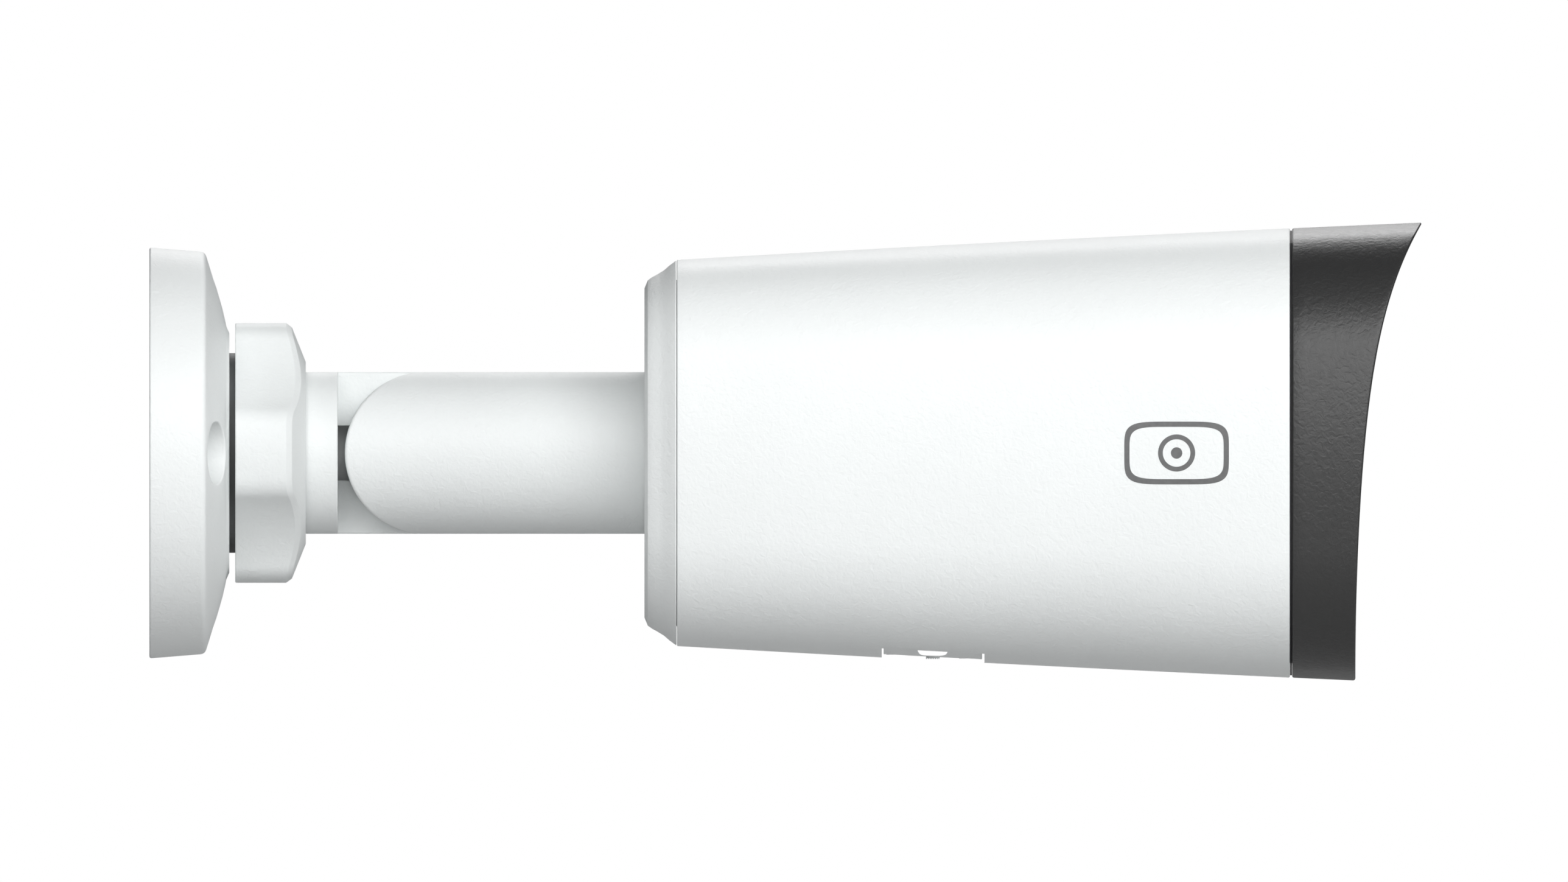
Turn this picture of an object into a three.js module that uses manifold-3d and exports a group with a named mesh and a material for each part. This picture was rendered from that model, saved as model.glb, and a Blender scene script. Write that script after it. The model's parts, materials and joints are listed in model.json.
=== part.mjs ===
// Outdoor bullet security camera on a three-axis wall bracket.
// Millimetres. The origin is the centre of the wall face, +X points from the wall to the
// camera's nose, +Z is up. The bracket, the swivel and the lens all share the X axis.

import * as THREE from 'three';
import { mergeVertices } from 'three/addons/utils/BufferGeometryUtils.js';
import Module from 'manifold-3d';

const wasm = await Module();
wasm.setup();

// ---------------------------------------------------------------- driving dimensions

const GAP = 0.3; // running gap round turned and curved faces
const SEAT = 0.1; // gap between flat faces that rest on each other

const BASE = {
  rimRadius: 43.2,
  dish: [[10.6, 42.3], [12.2, 40.6], [14.1, 34.7], [16, 26.8], [16.8, 25]], // [x, radius], rim to face
  faceX: 16.8,
  neckRadius: 20.9,
  neckEnd: 26,
  boreRadius: 14.5,
  tubeRadius: 18,
  cavityRadius: 37,
  cavityDepth: 8.5,
  holeCircle: 33.8,
  holeCount: 3,
  headRadius: 6.55,
  headFloor: 5,
  shankRadius: 2.7,
  bossRadius: 9,
  ribThickness: 2.4,
};

const NUT = {
  start: 18.06,
  lipStart: 30.3,
  end: 32.9,
  lobes: 4,
  lobeRadius: 27.3,
  lobeHalfAngle: THREE.MathUtils.degToRad(11.64),
  filletRadius: 6,
  scallopRadius: 44,
  waistRadius: 22.4,
  cone: [[28.75, 27.6], [30, 26.5], [32.9, 19.1]], // [x, radius], lobes to nose
};

const SEAT_WASHER = { inner: 15, outer: 20.4 };
const SLIP_RING_RADIUS = 20.7;

const ARM_RADIUS = 17; // stem, elbow and arm are turned from one bar size
const ELBOW_X = 58.1; // tilt axis, parallel to Y
const STEM = { flangeStart: 27.3, flangeEnd: 29, flangeRadius: 19.6, shoulder: 39.6 };
const ELBOW_REACH = ELBOW_X - STEM.shoulder; // axis to either shoulder
const CHEEK_GAP = 0.15; // each cheek stands this far off the mid plane
const CABLE_RADIUS = 5.8; // cable way through stem and arm
const GROMMET = { radius: 9, end: 37 }; // seat of the cable grommet in the stem
const HUB = { radius: 6.4, grooveRadius: 13.6, grooveDepth: 5.5, washerHalf: 0.6 };
const ARM = { end: 110, flangeStart: 108, flangeRadius: 20, boreRadius: 9, boreStart: 79.6 };
const TILT_SCREW = {
  shank: 2.9,
  head: 4.6,
  headStart: 10.2,
  headEnd: 15.6,
  tip: -11.5,
  clearance: 0.2,
  socketRadius: 2.9,
  socketDepth: 3,
  washer: 1,
  toolRoom: 0.8,
};
const INSERT = { wall: 1.7, end: -0.9 };

const REAR = {
  start: 104.1,
  inner: 107.7,
  seam: 110.85,
  spigotEnd: 115,
  spigotHalf: 36.4,
  cavityHalf: 34.4,
  profile: [[104.1, 34.4], [104.8, 36.3], [106.2, 37.2], [108.2, 38.4], [109.4, 39.5]], // [x, half]
};
const ORING = { inner: 17.1, outer: 18.6, start: 105.6, end: 106.8, groove: 18.9, play: 0.2 };
const SWIVEL = { collarRadius: 24.4, seatRadius: 21.6, collarEnd: 114 };
const RETAINER = { inner: 12, start: 110.3, end: 113 };
const REAR_GASKET = { start: 111.1, end: 113.1 };
const REAR_SCREW = {
  offset: 24.6,
  headRadius: 3,
  headHeight: 1.9,
  headDepth: 2.5,
  shank: 1.6,
  tip: 124,
  sleeveRadius: 4.4,
  bossRadius: 4.2,
  bossReach: 9,
};
const CROSS = { half: 0.35, reach: 0.6, depth: 0.5 }; // screw recess; reach and depth in head sizes
const THREAD_FIT = 0.15; // gap round a screw in the hole that it grips

const BODY = { start: 110.95, end: 239.8, startHalf: 40.6, taper: 0.0575, curve: 4.7e-5, wall: 2.5 };
const SIDE_RADIUS = 2.844; // flat-looking sides, in half heights
const SIDE_HALF_ANGLE = THREE.MathUtils.degToRad(9);
const BELOW = -60; // well under the body, where cutting tools may start

const HATCH = {
  start: 154,
  end: 175.5,
  gap: 0.4,
  recess: 1.9,
  sink: 0.7,
  opening: [161.3, 168.1],
  openHalf: 12,
  openTop: -30.5,
  half: 30,
};
const HATCH_PAD = { margin: 4, half: 26, bottom: -42, top: -37 };
const HATCH_SEAL = { groove: 2.4, inner: 0.9, height: 1.1, play: 0.1 };
const HATCH_SCREW = {
  at: [157.1, 172.4],
  head: 2.2,
  headHeight: 0.6,
  shank: 1,
  tip: -38.6,
  fit: 0.3,
  clearance: 0.25,
  land: 0.55, // plate left under the head
  slot: [1.3, 0.25, 0.3], // half length, half width, depth
};
const GRIP = { x: [163.3, 166.2], half: 7, z: [-43.3, -42.4] };
const FINGER_SLOT = [[161.6, -41], [162.7, -42.15], [166.8, -42.35], [167.9, -41]]; // [x, z]

const SERVICE = { bottom: -30, sheet: 1.6, start: 156, end: 173.4, half: 20.5, post: 1.8, inset: 2 };
const CARD_SOCKET = {
  x: [161.8, 167.6],
  y: [-11.6, 0.4],
  bottom: -39.2,
  slot: [163.9, 165.1],
  slotTop: -31.5,
};
const RESET = { x: 165, y: 6.2, radius: 1.6, bottom: -39.5, top: -34, switchTop: -33.6, switchHalf: 2.5 };

const VISOR = {
  start: 240.3,
  spigotStart: 233,
  spigotDrop: 0.5,
  spigotWall: 2,
  lipEnd: 250,
  glassStop: 248.4,
  hood: 2.4,
  stockEnd: 269,
};
const FRONT_GASKET = { inner: 2.4, outer: 0.5, squeeze: 0.05 }; // depths under the body's surface
const HOOD = {
  bottom: 253.6,
  lowZ: -47.2,
  height: 95,
  sweep: 7,
  hook: 6.7,
  hookPower: 6,
  steps: 10,
  tall: 52, // past the hood's top and bottom
};
const WINDOW = {
  half: 37,
  apertureHalf: 37.4,
  lipHalf: 34.6,
  bezelStart: 241.5,
  glassStart: 244.6,
  glassEnd: 247.6,
};
const FRONT_SCREW = {
  offset: 32.5,
  headRadius: 3,
  headHeight: 1.8,
  shank: 1.5,
  tip: 224,
  bossEnd: 232.6,
  bossRadius: 4,
  bossReach: 4.5,
};

const CHASSIS = {
  start: 128,
  end: 226,
  half: 33,
  top: -20,
  sheet: 2,
  wallHalf: 25,
  wallTop: 25,
  lensRoom: 2.2,
};
const RAIL = { inner: 31, outer: 43, bottom: -26, top: -22.4 };
const BOARD = { start: 132, end: 186, half: 26, bottom: -14, sheet: 1.6, post: 2.2, inset: 4 };
const PROCESSOR = { x: [160, 176], half: 8, top: -10.9 };
const PAD_TOP = -9.5;
const SINK = { x: [158, 178], half: 10, foot: [-9.4, -7.4], fins: 5, pitch: 4.3, fin: 1.8, top: -1 };
const CONNECTOR = { x: [133, 143], half: 10, z: [-12.3, -4] };

const LENS = {
  radius: 13,
  start: 200.3,
  end: 239,
  recess: 233,
  apertureRadius: 9,
  cupRadius: 11.5,
  cupDepth: 2,
  flare: 0.8,
  bezelRoom: 0.8,
};
// Domed front element as [distance from the recess, radius].
const LENS_GLASS = [[0.2, 0], [0.2, 11.1], [2, 11.1], [3.4, 8.4], [4.3, 4.6], [4.6, 0]];
const SENSOR = { board: [189, 190.6], boardHalf: 17, chip: [190, 191.8], chipHalf: [7, 6] };
const MOUNT = {
  body: [192, 197.5],
  half: 13,
  flange: [197, 200],
  flangeHalf: [27, 10],
  foot: [193, 199],
  footHalf: 12,
};
const FILTER = {
  slot: [194, 196],
  slotY: [-9, 20],
  slotHalf: 6.4,
  glass: [194.3, 195.7],
  half: [7.5, 6.1],
};
const GEAR = {
  module: 0.866,
  ringTeeth: 36,
  pinionTeeth: 10,
  width: 4.5,
  pressure: 22,
  backlash: 0.12,
  addendum: 0.85,
  dedendum: 1.15,
};
const RING_X = { zoom: 206, focus: 215 };
const MOTOR = { radius: 3.2, start: 200.1, gap: 0.3 };
const PINION_BORE = 1;

const LED_BOARD = { start: 229, end: 230.6, half: 25, postRadius: 2, postY: 22, lensRoom: 2.4 };
const LED_OFFSET = 17.5;
const LED_PROFILE = [ // [x, radius], flange to dome
  [230.7, 0], [230.7, 3.6], [231.7, 3.6], [231.7, 3], [233.4, 3], [235.2, 2.2], [236, 0],
];
const LED_WINDOW_RADIUS = 5;
const LIGHT_SENSOR = { z: 21.5, radius: 1.7, window: 2, start: 230.7, end: 233 };
const LIGHT_SEAL = { wall: 2, start: 231, end: 241.4 };

// ---------------------------------------------------------------- materials

const paint = (color, roughness = 0.55, metalness = 0) =>
  new THREE.MeshStandardMaterial({ color, roughness, metalness });

const MATERIAL = {
  shell: paint(0xeef1f1),
  visor: paint(0x54585a, 0.6),
  rubber: paint(0x1c1d1e, 0.85),
  steel: paint(0xb9bcc0, 0.35, 1),
  alloy: paint(0xa9adb1, 0.45, 1),
  black: paint(0x101112, 0.35),
  nylon: paint(0xd8d4c6, 0.6),
  glass: paint(0x2a3036, 0.05),
  board: paint(0x1d4a2c, 0.5),
  chip: paint(0x17181a, 0.4),
  led: paint(0x3a2630, 0.15),
  brass: paint(0xb08d4a, 0.35, 1),
};

// ---------------------------------------------------------------- solids

const X_FROM_Z = new THREE.Matrix4().makeBasis(
  new THREE.Vector3(0, 1, 0),
  new THREE.Vector3(0, 0, 1),
  new THREE.Vector3(1, 0, 0),
);

/** A closed three.js geometry as a solid that can be cut and joined. */
function solid(source) {
  const geometry = source.clone();
  geometry.deleteAttribute('normal');
  geometry.deleteAttribute('uv');
  const merged = mergeVertices(geometry, 1e-4);
  const index = merged.index.array;
  const triangles = [];
  for (let i = 0; i < index.length; i += 3) {
    const [a, b, c] = [index[i], index[i + 1], index[i + 2]];
    if (a !== b && b !== c && c !== a) triangles.push(a, b, c);
  }
  return new wasm.Manifold(
    new wasm.Mesh({
      numProp: 3,
      vertProperties: new Float32Array(merged.attributes.position.array),
      triVerts: new Uint32Array(triangles),
    }),
  );
}

/** A solid as a three.js geometry with flat faces. */
function toGeometry(body) {
  const mesh = body.getMesh();
  const geometry = new THREE.BufferGeometry();
  geometry.setAttribute('position', new THREE.BufferAttribute(new Float32Array(mesh.vertProperties), 3));
  geometry.setIndex(new THREE.BufferAttribute(new Uint32Array(mesh.triVerts), 1));
  return geometry;
}

const join = (...bodies) => bodies.reduce((sum, body) => sum.add(body));
const cut = (body, ...tools) => tools.reduce((rest, tool) => rest.subtract(tool), body);

/** A solid of revolution about X from a closed profile of [x, radius] points. */
function turned(profile, segments = 32) {
  const points = [...profile, profile[0]].map(([x, r]) => new THREE.Vector2(r, x));
  const revolve = () => solid(new THREE.LatheGeometry(points, segments).rotateZ(-Math.PI / 2));
  const body = revolve();
  if (body.volume() > 0) return body;
  points.reverse();
  return revolve();
}

/** A ring or tube about X. */
const tube = (inner, outer, x0, x1, segments) =>
  turned([[x0, inner], [x0, outer], [x1, outer], [x1, inner]], segments);

/** A round bar parallel to X. */
function barX(radius, x0, x1, y = 0, z = 0, segments = 24) {
  const geometry = new THREE.CylinderGeometry(radius, radius, x1 - x0, segments);
  return solid(geometry.rotateZ(-Math.PI / 2).translate((x0 + x1) / 2, y, z));
}

/** A round bar parallel to Y. */
function barY(radius, y0, y1, x, z = 0, segments = 24) {
  const geometry = new THREE.CylinderGeometry(radius, radius, y1 - y0, segments);
  return solid(geometry.translate(x, (y0 + y1) / 2, z));
}

/** A round bar parallel to Z. */
function barZ(radius, z0, z1, x, y = 0, segments = 16) {
  const geometry = new THREE.CylinderGeometry(radius, radius, z1 - z0, segments);
  return solid(geometry.rotateX(Math.PI / 2).translate(x, y, (z0 + z1) / 2));
}

function block([x0, x1], [y0, y1], [z0, z1]) {
  const geometry = new THREE.BoxGeometry(x1 - x0, y1 - y0, z1 - z0);
  return solid(geometry.translate((x0 + x1) / 2, (y0 + y1) / 2, (z0 + z1) / 2));
}

/** An outline of [x, z] points in the side view, as thick as the given half width in Y. */
function sideSlab(points, half) {
  const shape = new THREE.Shape(points.map(([x, z]) => new THREE.Vector2(x, z)));
  const geometry = new THREE.ExtrudeGeometry(shape, { depth: 2 * half, bevelEnabled: false });
  return solid(geometry.rotateX(Math.PI / 2).translate(0, half, 0));
}

// ---------------------------------------------------------------- rounded-square section

/** The camera's section for a half height of 1: four slightly bowed sides and round corners. */
function unitSection() {
  const sideCentre = 1 - SIDE_RADIUS;
  const cos = Math.cos(SIDE_HALF_ANGLE);
  const sin = Math.sin(SIDE_HALF_ANGLE);
  const meet = new THREE.Vector2(sideCentre + SIDE_RADIUS * cos, SIDE_RADIUS * sin);
  const cornerRadius = (meet.x - meet.y) / (cos - sin);
  const cornerCentre = meet.x - cornerRadius * cos;
  const points = [];
  const arc = (cx, cy, radius, from, to, steps) => {
    for (let i = 0; i < steps; i++) {
      const angle = from + ((to - from) * i) / steps;
      points.push(new THREE.Vector2(cx + radius * Math.cos(angle), cy + radius * Math.sin(angle)));
    }
  };
  for (let side = 0; side < 4; side++) {
    const middle = (side * Math.PI) / 2;
    const corner = middle + Math.PI / 4;
    const reach = cornerCentre * Math.SQRT2;
    arc(
      sideCentre * Math.cos(middle), sideCentre * Math.sin(middle), SIDE_RADIUS,
      middle - SIDE_HALF_ANGLE, middle + SIDE_HALF_ANGLE, 2,
    );
    arc(
      reach * Math.cos(corner), reach * Math.sin(corner), cornerRadius,
      middle + SIDE_HALF_ANGLE, middle + Math.PI / 2 - SIDE_HALF_ANGLE, 4,
    );
  }
  return points;
}

const SECTION = unitSection();

/** A solid along X with the rounded-square section, of the given half height at each [x, half] station. */
function loft(stations) {
  const steps = stations.length - 1;
  const shape = new THREE.Shape(SECTION);
  const geometry = new THREE.ExtrudeGeometry(shape, { depth: steps, steps, bevelEnabled: false });
  const position = geometry.attributes.position;
  for (let i = 0; i < position.count; i++) {
    const [x, half] = stations[Math.round(position.getZ(i))];
    position.setXYZ(i, x, position.getX(i) * half, position.getY(i) * half);
  }
  return solid(geometry);
}

const plate = (half, x0, x1) => loft([[x0, half], [x1, half]]);
const frame = (inner, outer, x0, x1) => cut(plate(outer, x0, x1), plate(inner, x0 - 1, x1 + 1));

/** Half height of the camera body's outer surface. */
function bodyHalf(x) {
  const d = x - BODY.start;
  return BODY.startHalf + BODY.taper * d - BODY.curve * d * d;
}

/** Stations that follow the body's surface at a constant depth under it. */
function bodyStations(x0, x1, depth, steps) {
  return Array.from({ length: steps + 1 }, (_, i) => {
    const x = x0 + ((x1 - x0) * i) / steps;
    return [x, bodyHalf(x) - depth];
  });
}

const corners = (offset) => [[offset, offset], [-offset, offset], [-offset, -offset], [offset, -offset]];

/** A screw boss parallel to X in a body corner, with a web out to the wall. */
function cornerBoss([y, z], { bossRadius, bossReach }, x0, x1) {
  const web = new THREE.BoxGeometry(x1 - x0, bossReach, bossRadius * 1.6);
  web.translate(0, Math.hypot(y, z) + bossReach / 2, 0);
  web.rotateX(Math.atan2(z, y)).translate((x0 + x1) / 2, 0, 0);
  return join(barX(bossRadius, x0, x1, y, z, 12), solid(web));
}

// ---------------------------------------------------------------- gears

/** Outline of a spur gear with involute flanks. */
function gearOutline(teeth, phase) {
  const pitch = (GEAR.module * teeth) / 2;
  const pressure = THREE.MathUtils.degToRad(GEAR.pressure);
  const baseRadius = pitch * Math.cos(pressure);
  const tip = pitch + GEAR.module * GEAR.addendum;
  const root = pitch - GEAR.module * GEAR.dedendum;
  const involute = (radius) => {
    const alpha = Math.acos(Math.min(1, baseRadius / radius));
    return Math.tan(alpha) - alpha;
  };
  const halfTooth = Math.PI / (2 * teeth) - GEAR.backlash / pitch / 2;
  const start = Math.max(root, baseRadius);
  const flank = [start, tip].map((radius) => [radius, halfTooth + involute(pitch) - involute(radius)]);
  const points = [];
  const add = (radius, angle) =>
    points.push(new THREE.Vector2(radius * Math.cos(angle), radius * Math.sin(angle)));
  for (let tooth = 0; tooth < teeth; tooth++) {
    const middle = phase + (tooth * 2 * Math.PI) / teeth;
    if (root < start) add(root, middle - flank[0][1]);
    flank.forEach(([radius, half]) => add(radius, middle - half));
    [...flank].reverse().forEach(([radius, half]) => add(radius, middle + half));
    if (root < start) add(root, middle + flank[0][1]);
  }
  return points;
}

/** A spur gear about an axis parallel to X, with a round bore. */
function gear(teeth, phase, bore, x0, y = 0) {
  const shape = new THREE.Shape(gearOutline(teeth, phase));
  const geometry = new THREE.ExtrudeGeometry(shape, { depth: GEAR.width, bevelEnabled: false });
  geometry.applyMatrix4(X_FROM_Z).translate(x0, y, 0);
  return cut(solid(geometry), barX(bore, x0 - 1, x0 + GEAR.width + 1, y, 0, 24));
}

// ---------------------------------------------------------------- wall bracket

function basePlate() {
  const shell = turned([
    [0, BASE.boreRadius], [0, BASE.rimRadius], ...BASE.dish,
    [BASE.faceX, BASE.neckRadius], [BASE.neckEnd, BASE.neckRadius], [BASE.neckEnd, BASE.boreRadius],
  ], 40);
  const beyond = BASE.neckEnd;
  const ringWidth = BASE.cavityRadius - BASE.tubeRadius;
  let body = cut(shell, tube(BASE.tubeRadius, BASE.cavityRadius, -1, BASE.cavityDepth, 32));
  for (let i = 0; i < BASE.holeCount; i++) {
    const angle = Math.PI + (i * 2 * Math.PI) / BASE.holeCount;
    const y = BASE.holeCircle * Math.cos(angle);
    const z = BASE.holeCircle * Math.sin(angle);
    const boss = barX(BASE.bossRadius, 0, BASE.cavityDepth + 1, y, z, 16).intersect(
      barX(BASE.cavityRadius + 2, -1, beyond, 0, 0, 32),
    );
    const rib = new THREE.BoxGeometry(BASE.cavityDepth, ringWidth + 2, BASE.ribThickness);
    rib.translate(BASE.cavityDepth / 2 + 0.5, BASE.tubeRadius + ringWidth / 2, 0);
    rib.rotateX(angle + Math.PI / BASE.holeCount);
    body = cut(
      join(body, boss, solid(rib)),
      barX(BASE.headRadius, BASE.headFloor, beyond, y, z, 20),
      barX(BASE.shankRadius, -1, BASE.headFloor + 1, y, z, 12),
    );
  }
  return body;
}

function nutOutline() {
  const shape = new THREE.Shape();
  const filletCentre = NUT.lobeRadius - NUT.filletRadius;
  const scallopCentre = NUT.waistRadius + NUT.scallopRadius;
  const filletAt = (angle) =>
    new THREE.Vector2(filletCentre * Math.cos(angle), filletCentre * Math.sin(angle));
  for (let lobe = 0; lobe < NUT.lobes; lobe++) {
    const middle = (lobe * 2 * Math.PI) / NUT.lobes;
    const valley = middle + Math.PI / NUT.lobes;
    const before = middle - NUT.lobeHalfAngle;
    const after = middle + NUT.lobeHalfAngle;
    const nextBefore = after + 2 * (valley - after);
    const near = filletAt(after);
    const far = filletAt(nextBefore);
    const scallop = new THREE.Vector2(scallopCentre * Math.cos(valley), scallopCentre * Math.sin(valley));
    const leave = scallop.clone().sub(near).angle();
    const arrive = scallop.clone().sub(far).angle();
    shape.absarc(0, 0, NUT.lobeRadius, before, after, false);
    shape.absarc(near.x, near.y, NUT.filletRadius, after, leave, false);
    shape.absarc(scallop.x, scallop.y, NUT.scallopRadius, leave + Math.PI, arrive + Math.PI, true);
    shape.absarc(far.x, far.y, NUT.filletRadius, arrive, nextBefore, false);
  }
  return shape;
}

function lockNut() {
  const stock = new THREE.ExtrudeGeometry(nutOutline(), {
    depth: NUT.end - NUT.start,
    curveSegments: 2,
    bevelEnabled: false,
  });
  const lobed = solid(stock.applyMatrix4(X_FROM_Z).translate(NUT.start, 0, 0));
  const stockRadius = NUT.lobeRadius + 2;
  const form = turned([[NUT.start - 1, 0], [NUT.start - 1, stockRadius], ...NUT.cone, [NUT.end, 0]], 32);
  return cut(
    lobed.intersect(form),
    barX(BASE.neckRadius + GAP, NUT.start - 1, NUT.lipStart, 0, 0, 32),
    barX(ARM_RADIUS + GAP, NUT.start, NUT.end + 1, 0, 0, 32),
  );
}

// ---------------------------------------------------------------- stem, elbow and arm

const WIDE = 20; // past the widest part of the elbow

/** Pocket for the cable round the elbow hub, shared by both cheeks. */
const cableGroove = () => cut(
  barY(HUB.grooveRadius, -HUB.grooveDepth, HUB.grooveDepth, ELBOW_X, 0, 24),
  barY(HUB.radius, -HUB.grooveDepth - 1, HUB.grooveDepth + 1, ELBOW_X, 0, 24),
);

/** Room for the washer between the two hubs. */
function hubRelief() {
  const half = HUB.washerHalf + SEAT;
  return barY(HUB.radius + 1, -half, half, ELBOW_X, 0, 24);
}

/** The bar between two stations with one end rounded about the tilt axis. */
function roundedBar(x0, x1, straight) {
  const end = barY(ARM_RADIUS, -WIDE, WIDE, ELBOW_X, 0, 32);
  return barX(ARM_RADIUS, x0, x1, 0, 0, 32).intersect(
    join(end, block(straight, [-WIDE, WIDE], [-WIDE, WIDE])),
  );
}

function stem() {
  const end = ELBOW_X + ARM_RADIUS;
  const bar = roundedBar(NUT.end - 4, end, [0, ELBOW_X]);
  const flange = tube(CABLE_RADIUS, STEM.flangeRadius, STEM.flangeStart, STEM.flangeEnd, 32);
  const washerStart = TILT_SCREW.headStart - TILT_SCREW.washer;
  return cut(
    join(bar, flange),
    block([STEM.shoulder, end + 1], [-WIDE, CHEEK_GAP], [-WIDE, WIDE]),
    barX(CABLE_RADIUS, STEM.flangeStart - 1, ELBOW_X - HUB.radius - 1, 0, 0, 24),
    barX(GROMMET.radius, STEM.flangeStart - 1, GROMMET.end, 0, 0, 24),
    cableGroove(),
    hubRelief(),
    barY(TILT_SCREW.shank + TILT_SCREW.clearance, 0, WIDE, ELBOW_X, 0, 20),
    barY(TILT_SCREW.head + TILT_SCREW.toolRoom, washerStart - SEAT, WIDE, ELBOW_X, 0, 24),
  );
}

function arm() {
  const bar = roundedBar(ELBOW_X - ARM_RADIUS, ARM.end, [ELBOW_X, ARM.end + 1]);
  const flange = barX(ARM.flangeRadius, ARM.flangeStart, ARM.end, 0, 0, 32);
  return cut(
    join(bar, flange),
    block([ELBOW_X - WIDE, ELBOW_X + ELBOW_REACH], [-CHEEK_GAP, WIDE], [-WIDE, WIDE]),
    barX(CABLE_RADIUS, ELBOW_X + HUB.radius + 1, ARM.boreStart + 1, 0, 0, 24),
    barX(ARM.boreRadius, ARM.boreStart, ARM.end + 1, 0, 0, 32),
    cableGroove(),
    hubRelief(),
    barY(TILT_SCREW.shank + INSERT.wall + GAP, TILT_SCREW.tip - 1, 0, ELBOW_X, 0, 24),
  );
}

function tiltScrew() {
  const head = cut(
    barY(TILT_SCREW.head, TILT_SCREW.headStart, TILT_SCREW.headEnd, ELBOW_X, 0, 28),
    barY(TILT_SCREW.socketRadius, TILT_SCREW.headEnd - TILT_SCREW.socketDepth, WIDE, ELBOW_X, 0, 6),
  );
  return join(head, barY(TILT_SCREW.shank, TILT_SCREW.tip, TILT_SCREW.headStart + 0.1, ELBOW_X, 0, 20));
}

/** A ring about the tilt axis. */
function ringY(inner, outer, y0, y1) {
  return cut(barY(outer, y0, y1, ELBOW_X, 0, 24), barY(inner, y0 - 1, y1 + 1, ELBOW_X, 0, 24));
}

// ---------------------------------------------------------------- rear cover and swivel

function rearCover() {
  const outside = loft([...REAR.profile, [REAR.seam, BODY.startHalf]]);
  const spigot = plate(REAR.spigotHalf, REAR.seam - 1, REAR.spigotEnd);
  const shell = cut(join(outside, spigot), plate(REAR.cavityHalf, REAR.inner, REAR.spigotEnd + 1));
  const collar = tube(SWIVEL.seatRadius, SWIVEL.collarRadius, REAR.inner - 1, SWIVEL.collarEnd, 32);
  const sleeves = corners(REAR_SCREW.offset).map(([y, z]) =>
    barX(REAR_SCREW.sleeveRadius, REAR.inner - 1, REAR.spigotEnd, y, z, 12));
  const screwHoles = corners(REAR_SCREW.offset).flatMap(([y, z]) => [
    barX(REAR_SCREW.shank + GAP, REAR.start - 1, REAR.spigotEnd + 1, y, z, 8),
    barX(REAR_SCREW.headRadius + GAP, REAR.start - 1, REAR.start + REAR_SCREW.headDepth, y, z, 12),
  ]);
  return cut(
    join(shell, collar, ...sleeves),
    barX(ARM_RADIUS + GAP, REAR.start - 1, REAR.inner + 1, 0, 0, 32),
    barX(ORING.groove, ORING.start - ORING.play, ORING.end + ORING.play, 0, 0, 32),
    ...screwHoles,
  );
}

/** A pan-head screw parallel to X with a cross recess, its head seated at the given station. */
function screwX([y, z], screw, seat) {
  const side = Math.sign(seat - screw.tip);
  const crown = seat + side * screw.headHeight;
  const along = (a, b) => [Math.min(a, b), Math.max(a, b)];
  const [head0, head1] = along(seat, crown);
  const [shank0, shank1] = along(seat, screw.tip);
  const reach = screw.headRadius * CROSS.reach;
  const depth = screw.headHeight * CROSS.depth;
  const mouth = [crown - depth, crown + depth];
  const head = barX(screw.headRadius, head0, head1, y, z, 12);
  const shank = barX(screw.shank, shank0 - 0.05, shank1 + 0.05, y, z, 8);
  return cut(
    join(head, shank),
    block(mouth, [y - reach, y + reach], [z - CROSS.half, z + CROSS.half]),
    block(mouth, [y - CROSS.half, y + CROSS.half], [z - reach, z + reach]),
  );
}

// ---------------------------------------------------------------- housing and hatch

/** Height of a plane that runs parallel to the body's underside, at a depth under its surface. */
const underside = (x, depth) => -(bodyHalf(x) - depth);

/** Everything below a sloping plane, between two stations. */
const belowPlane = (x0, x1, z0, z1) =>
  sideSlab([[x0, z0], [x1, z1], [x1, BELOW], [x0, BELOW]], HATCH.half);

/** A block round the hatch opening, wider than it by a margin. */
function aroundOpening(margin, z0, z1) {
  const [x0, x1] = HATCH.opening;
  const y = HATCH.openHalf + margin;
  return block([x0 - margin, x1 + margin], [-y, y], [z0, z1]);
}

const serviceCorners = () => [SERVICE.start + SERVICE.inset, SERVICE.end - SERVICE.inset].flatMap((x) =>
  [-1, 1].map((side) => [x, side * (SERVICE.half - SERVICE.inset)]));

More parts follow.
